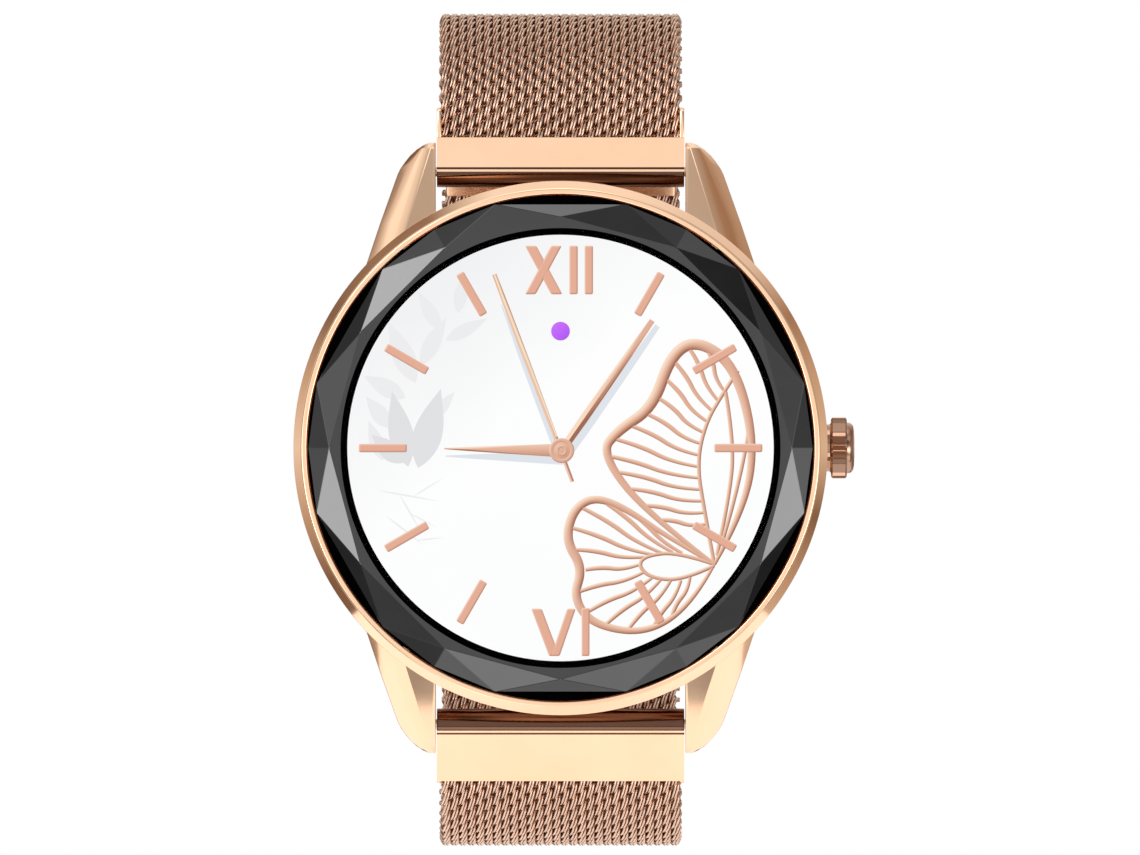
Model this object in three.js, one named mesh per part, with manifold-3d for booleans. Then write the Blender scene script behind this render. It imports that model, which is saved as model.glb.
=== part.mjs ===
// A round smartwatch with a faceted dial surround and a woven steel mesh strap.
// Millimetres. The dial faces -Y, twelve o'clock is +Z and the crown is at +X.
// The origin is the centre of the flat back that rests on the wrist, and a
// "depth" is a distance from the wrist towards the dial, along -Y.
import * as THREE from 'three';
import { mergeVertices } from 'three/addons/utils/BufferGeometryUtils.js';
import { ConvexGeometry } from 'three/addons/geometries/ConvexGeometry.js';
import Module from 'manifold-3d';

const wasm = await Module();
wasm.setup();

// Case
const ROUND = 60;
const SMALL_ROUND = 24;
const HELIX_STEPS = 7;
const WIRE_SIDES = 4;
const CASE_RADIUS = 20.5;
const CASE_BORE = 18.6;
const CASE_BACK_RIM = { radius: 19.3, depth: 0.4 };
const CASE_SHOULDER = 8.6;
const CASE_RIM = { radius: 20.05, depth: 9.0 };
const LEDGE = { radius: 15.0, bottom: 1.5, top: 2.6 };
const BEZEL = { outer: 21.4, ridge: 20.7, inner: 20.3, bottom: 8.85, top: 10.9 };

// Faceted surround and crystal
const FACETS = 12;
const TABLE_DEPTH = 11.5;
const TABLE_VERTEX_RADIUS = 18.5;
const FACET_FOOT = { radius: 20.2, depth: 10.75 };
const CRESCENT_DEPTH = 10.2;
const SURROUND_BASE = 9.3;
const SURROUND_BORE = 17.6;
const GLASS = { radius: 17.45, bottom: 10.4, chamfer: 0.15 };
const GLASS_LEDGE = { radius: 17.15, depth: 10.0 };
const PANEL = { radius: 17.08, bottom: 9.25, top: 10.15 };

// Lugs, each a wedge with one ridge between its inner and outer facets
const LUG_GAP = 20.3;
const LUG_ROOT = { ridgeX: 12.36, ridgeZ: 17.9, edgeX: 15.08, edgeZ: 15.76, ridge: 8.2, edge: 5.6 };
const LUG_TIP = { ridgeX: 10.5, ridgeZ: 23.8, edgeX: 11.8, edgeZ: 23.8, ridge: 4.4, edge: 2.9 };
const LUG_NOSE = { x: 10.65, z: 24.55, top: 3.3, bottom: 1.6 };
const LUG_BOTTOM = 0.7;
const LUG_BURIED_Z = 14.0;

// Strap bars, links and bands
const BAR = { z: 22.2, depth: 2.6 };
const BARREL_RADIUS = 1.25;
const BARREL_BORE = 0.95;
const LINK_WIDTH = 19.9;
const FLANGE_THICKNESS = 0.35;
const BAND_WIDTH = 18.9;
const BAND_THICKNESS = 1.5;
const SLOT_CLEARANCE = 0.1;
const UPPER = {
  name: 'upper', turn: 0, tilt: 5, straight: 4.5, shoulder: 8.5, run: 1.9,
  backRadius: 33.9, backSweep: 78, plateEnd: 2.7, flangeEnd: 5.1, slotStart: 1.75,
};
const LOWER = {
  name: 'lower', turn: 180, tilt: 30, straight: 5.4, shoulder: 9.35, run: 0,
  backRadius: 32.0, backSweep: 129.5, plateEnd: 4.65, flangeEnd: 5.0, slotStart: 2.2,
};
const BAR_TUBE = { half: 7.6, outer: 0.72, inner: 0.52 };
const BAR_TIP = { inner: 6.2, collar: 8.8, collarEnd: 9.3, end: 11.1, radius: 0.38, collarRadius: 0.7 };
const TIP_HOLE = { radius: 0.55, depth: 1.35 };
const BAR_SPRING = { half: 4.95, radius: 0.32, wire: 0.08, turns: 9 };

// Clasp on the end of the upper band, and the cap on the lower band's tail
const CLASP = { width: 19.6, start: 79.5, end: 96.5, inner: 33.15, outer: 35.75, wall: 0.5 };
const CLASP_MAGNET = { inner: 33.85, outer: 35.0 };
const CLASP_PLATE = { inner: 33.2, outer: 33.6 };
const TAIL_CAP_SWEEP = 3.6;

// Crown, on an axis along X at three o'clock
const CROWN_DEPTH = 5.0;
const CROWN_TUBE = { start: 18.3, end: 20.75, outer: 1.5, inner: 1.0, hole: 1.75 };
const KNOB = {
  neckStart: 21.15, neck: 1.9, knurlStart: 21.7, knurl: 2.45, knurlEnd: 23.0, cap: 2.05, capEnd: 23.6,
};
const KNOB_RECESS = { radius: 1.55, end: 22.3 };
const KNOB_SOCKET = { radius: 0.75, end: 22.95 };
const FLUTES = 28;
const FLUTE_DEPTH = 0.16;
const STEM = { start: 16.9, end: 22.75, radius: 0.5 };
const SEAL = { start: 19.3, end: 19.9, inner: 0.62, outer: 0.9 };
const CLIP = { start: 17.7, end: 17.95, inner: 0.62, outer: 1.4 };
const SWITCH_BUTTON = { start: 15.7, end: 16.7, radius: 1.0 };
const CROWN_SPRING = { start: 20.95, end: 21.6, radius: 1.25, wire: 0.1, turns: 3 };

// Inside the case
const BACK_COVER = { radius: 18.3, thickness: 0.9 };
const WINDOW = { radius: 5.5, hole: 5.8, thickness: 0.8 };
const BACK_SEAL = { inner: 15.3, outer: 15.9, bottom: 1.05, top: 1.35 };
const SCREW = { circle: 17.0, head: 0.85, shank: 0.45, headHole: 1.0, shankHole: 0.65 };
const CONTACT = { spacing: 4.2, z: -9.5, radius: 0.8, hole: 1.05, flange: 1.3 };
const BATTERY = { width: 22, height: 15.5, bottom: 2.9, top: 6.0, z: 1.0 };
const MOTOR = { radius: 3.7, bottom: 3.0, top: 5.7, z: -11.4 };
const BOARD = { radius: 17.4, bottom: 6.3, top: 7.0 };
const SHIELD = { width: 14, height: 11, bottom: 7.15, top: 8.05 };
const BRACKET = { outer: 18.3, inner: 14.6, bottom: 8.3, top: 9.0 };
const FLEX = { width: 9, thickness: 0.15, z: 11.9, length: 4.0, top: 8.95, bottom: 7.3 };
const SENSOR_BOARD = { radius: 7.5, bottom: 1.75, top: 2.3 };
const SENSOR_CHIP = { bottom: 1.05, top: 1.6 };
const TACT_SWITCH = { start: 12.8, end: 15.1, half: 2.1, bottom: 3.8, top: 6.1 };

const OVERRUN = 1;
const degrees = THREE.MathUtils.degToRad;

// Materials

function material(color, roughness, metalness) {
  return new THREE.MeshStandardMaterial({ color, roughness, metalness });
}

const roseGold = () => material(0xe6b594, 0.15, 1);
const blackCeramic = () => material(0x0b0b0d, 0.12, 0);
const steel = () => material(0xb9bcc0, 0.3, 1);
const rubber = () => material(0x1b1b1c, 0.8, 0);
const blackPlastic = () => material(0x17181a, 0.55, 0);
const boardGreen = () => material(0x0f4a2c, 0.5, 0);

// Booleans on closed triangle meshes

function solid(geometry) {
  const bare = geometry.clone();
  bare.deleteAttribute('normal');
  bare.deleteAttribute('uv');
  const merged = mergeVertices(bare, 1e-5);
  const index = merged.index.array;
  const triangles = [];
  for (let i = 0; i < index.length; i += 3) {
    const [a, b, c] = [index[i], index[i + 1], index[i + 2]];
    if (a !== b && b !== c && c !== a) triangles.push(a, b, c);
  }
  const mesh = new wasm.Mesh({
    numProp: 3,
    vertProperties: new Float32Array(merged.attributes.position.array),
    triVerts: new Uint32Array(triangles),
  });
  return new wasm.Manifold(mesh);
}

function geometryOf(body) {
  const mesh = body.getMesh();
  const geometry = new THREE.BufferGeometry();
  geometry.setAttribute('position', new THREE.BufferAttribute(mesh.vertProperties, 3));
  geometry.setIndex(new THREE.BufferAttribute(mesh.triVerts, 1));
  geometry.computeVertexNormals();
  return geometry;
}

function join(...pieces) {
  return geometryOf(pieces.map(solid).reduce((whole, piece) => whole.add(piece)));
}

function cut(piece, ...tools) {
  return geometryOf(tools.map(solid).reduce((rest, tool) => rest.subtract(tool), solid(piece)));
}

// Shapes

// Revolves [radius, height] points, listed anticlockwise, around the Y axis.
function lathe(profile, segments) {
  const onAxis = profile.some(([radius]) => radius === 0);
  const outline = onAxis ? profile : [...profile, profile[0]];
  const points = outline.map(([radius, height]) => new THREE.Vector2(radius, height));
  return new THREE.LatheGeometry(points, segments);
}

// A turned piece on the case's own axis, from [radius, depth] points.
function turned(profile, segments = ROUND) {
  const upright = profile.map(([radius, depth]) => [radius, -depth]);
  return lathe(upright.reverse(), segments);
}

function disc(radius, bottom, top, segments = ROUND) {
  return turned([[0, bottom], [radius, bottom], [radius, top], [0, top]], segments);
}

function washer(inner, outer, bottom, top, segments = ROUND) {
  return turned([[inner, bottom], [outer, bottom], [outer, top], [inner, top]], segments);
}

// A turned piece on the X axis, from [radius, x] points.
function turnedOnX(profile, segments = SMALL_ROUND) {
  return lathe(profile, segments).rotateZ(-Math.PI / 2);
}

function rod(radius, start, end, segments = SMALL_ROUND) {
  return turnedOnX([[0, start], [radius, start], [radius, end], [0, end]], segments);
}

function sleeve(inner, outer, start, end, segments = SMALL_ROUND) {
  return turnedOnX([[inner, start], [outer, start], [outer, end], [inner, end]], segments);
}

function block(width, bottom, top, height) {
  const box = new THREE.BoxGeometry(width, top - bottom, height);
  return box.translate(0, -(bottom + top) / 2, 0);
}

// Extrudes an outline of [y, z] points across the width of the watch.
function acrossX(outline, width) {
  const shape = new THREE.Shape(outline.map(([y, z]) => new THREE.Vector2(y, z)));
  const slab = new THREE.ExtrudeGeometry(shape, { depth: width, bevelEnabled: false });
  slab.translate(0, 0, -width / 2);
  return slab.applyMatrix4(new THREE.Matrix4().makeBasis(
    new THREE.Vector3(0, 1, 0), new THREE.Vector3(0, 0, 1), new THREE.Vector3(1, 0, 0)));
}

function helix(start, end, { radius, wire, turns }) {
  const points = [];
  const steps = turns * HELIX_STEPS;
  for (let i = 0; i <= steps; i += 1) {
    const angle = (i / HELIX_STEPS) * Math.PI * 2;
    const x = THREE.MathUtils.lerp(start, end, i / steps);
    points.push(new THREE.Vector3(x, radius * Math.cos(angle), radius * Math.sin(angle)));
  }
  const section = new THREE.Shape();
  for (let i = 0; i < WIRE_SIDES; i += 1) {
    const angle = (i / WIRE_SIDES) * Math.PI * 2;
    const corner = [wire * Math.cos(angle), wire * Math.sin(angle)];
    if (i === 0) section.moveTo(...corner);
    else section.lineTo(...corner);
  }
  const extrudePath = new THREE.CatmullRomCurve3(points);
  return new THREE.ExtrudeGeometry(section, { steps, extrudePath, bevelEnabled: false });
}

function piece(name, geometry, look) {
  const mesh = new THREE.Mesh(geometry, look);
  mesh.name = name;
  return mesh;
}

function placed(mesh, x, y, z) {
  mesh.position.set(x, y, z);
  return mesh;
}

// Case

function lug(side, end) {
  const inner = LUG_GAP / 2;
  const corners = [
    [inner, LUG_BOTTOM, LUG_BURIED_Z], [inner, LUG_ROOT.ridge, LUG_BURIED_Z],
    [LUG_ROOT.edgeX, LUG_BOTTOM, LUG_BURIED_Z], [LUG_ROOT.ridgeX, LUG_ROOT.ridge, LUG_BURIED_Z],
    [inner, LUG_ROOT.ridge, LUG_ROOT.ridgeZ], [LUG_ROOT.ridgeX, LUG_ROOT.ridge, LUG_ROOT.ridgeZ],
    [LUG_ROOT.edgeX, LUG_ROOT.edge, LUG_ROOT.edgeZ], [LUG_ROOT.edgeX, LUG_BOTTOM, LUG_ROOT.edgeZ],
    [inner, LUG_TIP.ridge, LUG_TIP.ridgeZ], [LUG_TIP.ridgeX, LUG_TIP.ridge, LUG_TIP.ridgeZ],
    [LUG_TIP.edgeX, LUG_TIP.edge, LUG_TIP.edgeZ],
    [LUG_TIP.edgeX, LUG_BOTTOM + 0.5, LUG_TIP.edgeZ],
    [inner, LUG_BOTTOM, LUG_TIP.ridgeZ - 1],
    [inner, LUG_NOSE.top, LUG_NOSE.z], [inner, LUG_NOSE.bottom, LUG_NOSE.z],
    [LUG_NOSE.x, LUG_NOSE.top, LUG_NOSE.z], [LUG_NOSE.x, LUG_NOSE.bottom, LUG_NOSE.z],
  ];
  return new ConvexGeometry(corners.map(([x, depth, z]) => new THREE.Vector3(side * x, -depth, end * z)));
}

function tipHole(end) {
  const reach = LUG_GAP / 2 + TIP_HOLE.depth;
  return rod(TIP_HOLE.radius, -reach, reach, 16).translate(0, -BAR.depth, end * BAR.z);
}

function screwPlace(index) {
  const angle = degrees(45 + 90 * index);
  return [SCREW.circle * Math.cos(angle), SCREW.circle * Math.sin(angle)];
}

function midCase() {
  const body = turned([
    [0, CASE_BACK_RIM.depth], [CASE_BACK_RIM.radius, CASE_BACK_RIM.depth], [CASE_RADIUS, 1.6],
    [CASE_RADIUS, CASE_SHOULDER], [CASE_RIM.radius, CASE_SHOULDER], [CASE_RIM.radius, CASE_RIM.depth],
    [0, CASE_RIM.depth],
  ]);
  const lugs = [lug(1, 1), lug(-1, 1), lug(1, -1), lug(-1, -1)];
  const bore = turned([
    [0, -OVERRUN], [CASE_BORE, -OVERRUN], [CASE_BORE, LEDGE.bottom], [LEDGE.radius, LEDGE.bottom],
    [LEDGE.radius, LEDGE.top], [CASE_BORE, LEDGE.top], [CASE_BORE, CASE_RIM.depth + OVERRUN],
    [0, CASE_RIM.depth + OVERRUN],
  ]);
  const crownHole = rod(CROWN_TUBE.hole, CASE_BORE - OVERRUN, CASE_RADIUS + OVERRUN);
  crownHole.translate(0, -CROWN_DEPTH, 0);
  const screwHoles = [0, 1, 2, 3].map((index) => {
    const [x, z] = screwPlace(index);
    return disc(SCREW.shankHole, LEDGE.bottom - OVERRUN, LEDGE.top - 0.2, 12).translate(x, 0, z);
  });
  return cut(join(body, ...lugs), bore, crownHole, tipHole(1), tipHole(-1), ...screwHoles);
}

function bezelRing() {
  return turned([
    [BEZEL.inner, BEZEL.bottom], [BEZEL.outer - 0.15, BEZEL.bottom], [BEZEL.outer, BEZEL.bottom + 0.2],
    [BEZEL.outer, BEZEL.bottom + 0.6], [BEZEL.ridge, BEZEL.top - 0.05], [BEZEL.ridge - 0.08, BEZEL.top],
    [BEZEL.inner + 0.05, BEZEL.top], [BEZEL.inner, BEZEL.top - 0.05],
  ]);
}

function facetCorner(index, radius, depth) {
  const angle = (index / (2 * FACETS)) * Math.PI * 2;
  return new THREE.Vector3(radius * Math.sin(angle), -depth, radius * Math.cos(angle));
}

// Every other gap between the kites has a corner of its own out at the rim.
function facetRing() {
  const corners = [];
  for (let i = 0; i < 2 * FACETS; i += 1) {
    if (i % 2 === 0) {
      corners.push(facetCorner(i, TABLE_VERTEX_RADIUS, TABLE_DEPTH));
    }
    if (i % 4 !== 0) {
      corners.push(facetCorner(i, FACET_FOOT.radius, FACET_FOOT.depth));
      corners.push(facetCorner(i, FACET_FOOT.radius, SURROUND_BASE));
    }
  }
  const base = disc(FACET_FOOT.radius, SURROUND_BASE, CRESCENT_DEPTH);
  const opening = turned([
    [0, SURROUND_BASE - OVERRUN], [GLASS_LEDGE.radius, SURROUND_BASE - OVERRUN],
    [GLASS_LEDGE.radius, GLASS_LEDGE.depth], [SURROUND_BORE, GLASS_LEDGE.depth],
    [SURROUND_BORE, TABLE_DEPTH + OVERRUN], [0, TABLE_DEPTH + OVERRUN],
  ]);
  return cut(join(new ConvexGeometry(corners), base), opening);
}

function coverGlass() {
  return turned([
    [0, GLASS.bottom], [GLASS.radius, GLASS.bottom], [GLASS.radius, TABLE_DEPTH - GLASS.chamfer],
    [GLASS.radius - GLASS.chamfer, TABLE_DEPTH], [0, TABLE_DEPTH],
  ]);
}

function backCover() {
  const plate = disc(BACK_COVER.radius, 0, BACK_COVER.thickness);
  const holes = [disc(WINDOW.hole, -OVERRUN, BACK_COVER.thickness + OVERRUN, 48)];
  for (let index = 0; index < 4; index += 1) {
    const [x, z] = screwPlace(index);
    const through = disc(SCREW.shankHole, -OVERRUN, BACK_COVER.thickness + OVERRUN, 12);
    holes.push(through.translate(x, 0, z));
    holes.push(disc(SCREW.headHole, -OVERRUN, 0.6, 16).translate(x, 0, z));
  }
  for (const side of [-1, 1]) {
    const hole = disc(CONTACT.hole, -OVERRUN, BACK_COVER.thickness + OVERRUN, 16);
    holes.push(hole.translate((side * CONTACT.spacing) / 2, 0, CONTACT.z));
  }
  return cut(plate, ...holes);
}

function caseScrew(index) {
  const [x, z] = screwPlace(index);
  const profile = [
    [0, 0.1], [SCREW.head, 0.1], [SCREW.head, 0.5], [SCREW.shank, 0.5], [SCREW.shank, 2.1], [0, 2.1],
  ];
  return placed(piece(`case_screw_${index + 1}`, turned(profile, 16), steel()), x, 0, z);
}

function chargeContact(index, side) {
  const profile = [
    [0, 0.05], [CONTACT.radius, 0.05], [CONTACT.radius, 1.1], [CONTACT.flange, 1.1],
    [CONTACT.flange, 1.4], [0, 1.4],
  ];
  const pin = piece(`charge_contact_${index}`, turned(profile, 16), material(0xd9b45b, 0.25, 1));
  return placed(pin, (side * CONTACT.spacing) / 2, 0, CONTACT.z);
}

// Electronics

function mainBoard() {
  const switchNotch = block(7, BOARD.bottom - OVERRUN, BOARD.top + OVERRUN, 5).translate(18.5, 0, 0);
  return cut(disc(BOARD.radius, BOARD.bottom, BOARD.top), switchNotch);
}

function displayFlex() {
  const radius = (FLEX.top - FLEX.bottom) / 2;
  const start = FLEX.z - FLEX.length;
  const run = (inset) => {
    const reach = radius - inset;
    const middle = -(FLEX.top + FLEX.bottom) / 2;
    const bend = [];
    for (let i = 0; i <= 8; i += 1) {
      const angle = (i / 8) * Math.PI;
      bend.push([middle - reach * Math.cos(angle), FLEX.z + reach * Math.sin(angle)]);
    }
    return [[middle - reach, start], ...bend, [middle + reach, start]];
  };
  return acrossX([...run(0), ...run(FLEX.thickness).reverse()], FLEX.width);
}

function battery() {
  const corner = 1.2;
  const [w, h] = [BATTERY.width / 2, BATTERY.height / 2];
  const shape = new THREE.Shape();
  shape.absarc(w - corner, h - corner, corner, 0, Math.PI / 2);
  shape.absarc(corner - w, h - corner, corner, Math.PI / 2, Math.PI);
  shape.absarc(corner - w, corner - h, corner, Math.PI, Math.PI * 1.5);
  shape.absarc(w - corner, corner - h, corner, Math.PI * 1.5, Math.PI * 2);
  const depth = BATTERY.top - BATTERY.bottom;
  const cell = new THREE.ExtrudeGeometry(shape, { depth, bevelEnabled: false, curveSegments: 4 });
  return cell.rotateX(Math.PI / 2).translate(0, -BATTERY.bottom, BATTERY.z);
}

function sensorChip(name, x, width, height, color) {
  const chip = block(width, SENSOR_CHIP.bottom, SENSOR_CHIP.top, height);
  return placed(piece(name, chip, material(color, 0.3, 0)), x, 0, 0);
}

function tactSwitch() {
  const { start, end, half, bottom, top } = TACT_SWITCH;
  return block(end - start, bottom, top, 2 * half).translate((start + end) / 2, 0, 0);
}

// Crown

function knurledRing() {
  const shape = new THREE.Shape();
  for (let i = 0; i < FLUTES * 3; i += 1) {
    const angle = (i / (FLUTES * 3)) * Math.PI * 2;
    const radius = i % 3 === 0 ? KNOB.knurl - FLUTE_DEPTH : KNOB.knurl;
    const corner = [radius * Math.cos(angle), radius * Math.sin(angle)];
    if (i === 0) shape.moveTo(...corner);
    else shape.lineTo(...corner);
  }
  const depth = KNOB.knurlEnd - KNOB.knurlStart;
  const ring = new THREE.ExtrudeGeometry(shape, { depth, bevelEnabled: false });
  return ring.rotateY(Math.PI / 2).translate(KNOB.knurlStart, 0, 0);
}

function crownKnob() {
  const core = turnedOnX([
    [0, KNOB.neckStart], [KNOB.neck, KNOB.neckStart], [KNOB.neck, KNOB.knurlStart + 0.2],
    [KNOB.cap, KNOB.knurlStart + 0.2], [KNOB.cap, KNOB.capEnd - 0.3], [KNOB.cap * 0.8, KNOB.capEnd - 0.08],
    [KNOB.cap * 0.5, KNOB.capEnd], [0, KNOB.capEnd],
  ], 32);
  const recess = rod(KNOB_RECESS.radius, KNOB.neckStart - OVERRUN, KNOB_RECESS.end);
  const socket = rod(KNOB_SOCKET.radius, KNOB.neckStart - OVERRUN, KNOB_SOCKET.end, 16);
  return cut(join(core, knurledRing()), recess, socket);
}

function crown() {
  const group = new THREE.Group();
  group.position.set(0, -CROWN_DEPTH, 0);
  const tube = sleeve(CROWN_TUBE.inner, CROWN_TUBE.outer, CROWN_TUBE.start, CROWN_TUBE.end);
  const button = rod(SWITCH_BUTTON.radius, SWITCH_BUTTON.start, SWITCH_BUTTON.end, 16);
  const spring = helix(CROWN_SPRING.start, CROWN_SPRING.end, CROWN_SPRING);
  group.add(
    piece('crown_tube', tube, roseGold()),
    piece('crown_spring', spring, steel()),
    piece('crown_knob', crownKnob(), roseGold()),
    piece('crown_stem', rod(STEM.radius, STEM.start, STEM.end, 16), steel()),
    piece('crown_seal', sleeve(SEAL.inner, SEAL.outer, SEAL.start, SEAL.end, 16), rubber()),
    piece('crown_clip', sleeve(CLIP.inner, CLIP.outer, CLIP.start, CLIP.end, 16), steel()),
    piece('switch_button', button, blackPlastic()),
  );
  return group;
}

// Strap. In a half's own frame the bar is the origin, +Z leads away from the
// case and -Y is outwards. A heading is an angle from +Z towards +Y.

function walk(half) {
  const stretches = [
    { length: half.straight }, { radius: half.shoulder, sweep: 90 - half.tilt },
    { length: half.run }, { radius: half.backRadius, sweep: half.backSweep },
  ];
  const slotEnd = half.slotStart + 2 * SLOT_CLEARANCE;
  const points = [];
  let heading = degrees(half.tilt);
  let [y, z] = [0, 0];
  const mark = () => points.push({ y, z, heading });
  [y, z] = [slotEnd * Math.sin(heading), slotEnd * Math.cos(heading)];
  mark();
  [y, z] = [0, 0];
  for (const { length, radius, sweep } of stretches) {
    if (length) {
      y += length * Math.sin(heading);
      z += length * Math.cos(heading);
      mark();
    }
    if (!radius) continue;
    const centre = [y + radius * Math.cos(heading), z - radius * Math.sin(heading)];
    const steps = Math.ceil(sweep / 7);
    for (let i = 1; i <= steps; i += 1) {
      heading += degrees(sweep / steps);
      y = centre[0] - radius * Math.cos(heading);
      z = centre[1] + radius * Math.sin(heading);
      mark();
    }
    points.centre = centre;
  }
  return points;
}

function bandSolid(points) {
  const side = (sign) => points.map(({ y, z, heading }) => [
    y - (sign * BAND_THICKNESS * Math.cos(heading)) / 2,
    z + (sign * BAND_THICKNESS * Math.sin(heading)) / 2,
  ]);
  return acrossX([...side(1), ...side(-1).reverse()], BAND_WIDTH);
}

// A strip curved round a half's back arc, between two sweeps from its start.
function curvedStrip(centre, inner, outer, from, to, width) {
  const edge = (radius) => {
    const steps = Math.max(1, Math.ceil((to - from) / 4));
    return Array.from({ length: steps + 1 }, (_, i) => {
      const angle = degrees(from + ((to - from) * i) / steps);
      return [centre[0] + radius * Math.sin(angle), centre[1] + radius * Math.cos(angle)];
    });
  };
  return acrossX([...edge(outer), ...edge(inner).reverse()], width);
}

function endLink(half) {
  const wide = LINK_WIDTH;
  const hollow = wide - 2 * FLANGE_THICKNESS;
  const thick = 2 * BARREL_RADIUS;
  const slot = BAND_THICKNESS + 2 * SLOT_CLEARANCE;
  const plate = new THREE.BoxGeometry(wide, thick, half.flangeEnd).translate(0, 0, half.flangeEnd / 2);
  const barrel = rod(BARREL_RADIUS, -wide / 2, wide / 2);
  const bore = rod(BARREL_BORE, -wide / 2 - OVERRUN, wide / 2 + OVERRUN);
  const slotCut = new THREE.BoxGeometry(hollow, slot, half.flangeEnd);
  const openEnd = new THREE.BoxGeometry(hollow, thick + OVERRUN, half.flangeEnd);
  slotCut.translate(0, 0, half.slotStart + half.flangeEnd / 2);
  openEnd.translate(0, 0, half.plateEnd + half.flangeEnd / 2);
  return cut(join(plate, barrel), bore, slotCut, openEnd);
}

function barTip(side) {
  const profile = [
    [0, BAR_TIP.inner], [BAR_TIP.radius, BAR_TIP.inner], [BAR_TIP.radius, BAR_TIP.collar],
    [BAR_TIP.collarRadius, BAR_TIP.collar], [BAR_TIP.collarRadius, BAR_TIP.collarEnd],
    [BAR_TIP.radius, BAR_TIP.collarEnd], [BAR_TIP.radius, BAR_TIP.end], [0, BAR_TIP.end],
  ];
  const tip = turnedOnX(profile, 16);
  return side > 0 ? tip : tip.rotateY(Math.PI);
}

function strapHalf(half) {
  const { name } = half;
  const group = new THREE.Group();
  group.rotation.y = degrees(half.turn);
  group.position.set(0, -BAR.depth, half.turn ? -BAR.z : BAR.z);
  const points = walk(half);
  const tube = sleeve(BAR_TUBE.inner, BAR_TUBE.outer, -BAR_TUBE.half, BAR_TUBE.half, 16);
  const spring = helix(-BAR_SPRING.half, BAR_SPRING.half, BAR_SPRING);
  const link = piece(`${name}_end_link`, endLink(half), roseGold());
  link.rotation.x = -degrees(half.tilt);
  group.add(
    link,
    piece(`${name}_mesh_band`, bandSolid(points), material(0xd9a17e, 0.3, 1)),
    piece(`${name}_bar_tube`, tube, steel()),
    piece(`${name}_bar_spring`, spring, steel()),
    piece(`${name}_bar_tip_1`, barTip(1), steel()),
    piece(`${name}_bar_tip_2`, barTip(-1), steel()),
  );
  return { group, centre: points.centre };
}

function claspPieces(centre) {
  const { width, start, end, inner, outer, wall } = CLASP;
  const edgeSweep = THREE.MathUtils.radToDeg(wall / inner);
  const shell = curvedStrip(centre, inner, outer, start, end, width);
  const pocket = curvedStrip(
    centre, inner - OVERRUN, outer - wall, start + edgeSweep, end - edgeSweep, width - 2 * wall);
  const inside = (layer) => curvedStrip(
    centre, layer.inner, layer.outer, start + 1.5 * edgeSweep, end - 1.5 * edgeSweep, width - 3 * wall);
  return [
    piece('clasp_housing', cut(shell, pocket), roseGold()),
    piece('clasp_magnet', inside(CLASP_MAGNET), material(0x8d9196, 0.35, 1)),
    piece('clasp_plate', inside(CLASP_PLATE), roseGold()),
  ];
}

function tailCap(centre) {
  const from = LOWER.backSweep + 0.5;
  const inner = LOWER.backRadius - BAND_THICKNESS / 2;
  const strip = curvedStrip(centre, inner, inner + BAND_THICKNESS, from, from + TAIL_CAP_SWEEP, BAND_WIDTH);
  return piece('tail_cap', strip, roseGold());
}

// The whole watch

function buildWatch() {
  const watch = new THREE.Group();
  const gasket = washer(17.2, 17.42, GLASS_LEDGE.depth + 0.1, GLASS.bottom - 0.1);
  const seal = washer(BACK_SEAL.inner, BACK_SEAL.outer, BACK_SEAL.bottom, BACK_SEAL.top);
  const motor = disc(MOTOR.radius, MOTOR.bottom, MOTOR.top, 32).translate(0, 0, MOTOR.z);
  const bracket = washer(BRACKET.inner, BRACKET.outer, BRACKET.bottom, BRACKET.top);
  watch.add(
    piece('mid_case', midCase(), roseGold()),
    piece('bezel_ring', bezelRing(), roseGold()),
    piece('facet_ring', facetRing(), blackCeramic()),
    piece('cover_glass', coverGlass(), material(0x15171a, 0.05, 0)),
    piece('crystal_gasket', gasket, rubber()),
    piece('display_panel', disc(PANEL.radius, PANEL.bottom, PANEL.top), material(0xf4f4f2, 0.2, 0)),
    piece('display_bracket', bracket, blackPlastic()),
    piece('display_flex', displayFlex(), material(0xb06a22, 0.5, 0)),
    piece('main_board', mainBoard(), boardGreen()),
    piece('chip_shield', block(SHIELD.width, SHIELD.bottom, SHIELD.top, SHIELD.height), steel()),
    piece('battery', battery(), material(0x9aa0a6, 0.5, 0.4)),
    piece('vibration_motor', motor, steel()),
    piece('tact_switch', tactSwitch(), blackPlastic()),
    piece('sensor_board', disc(SENSOR_BOARD.radius, SENSOR_BOARD.bottom, SENSOR_BOARD.top, 40), boardGreen()),
    sensorChip('sensor_led_1', -2.6, 1.4, 1.4, 0x49d17a),
    sensorChip('sensor_led_2', 2.6, 1.4, 1.4, 0x49d17a),
    sensorChip('photodiode', 0, 2.2, 1.8, 0x14161c),
    piece('sensor_window', disc(WINDOW.radius, 0, WINDOW.thickness, 48), material(0x101114, 0.05, 0)),
    piece('back_cover', backCover(), roseGold()),
    piece('back_seal', seal, rubber()),
    chargeContact(1, -1),
    chargeContact(2, 1),
    crown(),
  );
  for (let index = 0; index < 4; index += 1) watch.add(caseScrew(index));
  const upper = strapHalf(UPPER);
  const lower = strapHalf(LOWER);
  upper.group.add(...claspPieces(upper.centre));
  lower.group.add(tailCap(lower.centre));
  watch.add(upper.group, lower.group);
  return watch;
}

export default buildWatch();
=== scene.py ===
"""A rose-gold smartwatch with a faceted black dial surround and a woven steel mesh strap.

Shapes are worked out in millimetres in the watch's own frame and scaled to
metres when a piece is finished. The dial faces -Y, twelve o'clock is +Z and
the crown is at +X. A "depth" is a distance from the wrist towards the dial.
"""
import math

import bmesh
import bpy
from mathutils import Matrix, Vector


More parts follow.
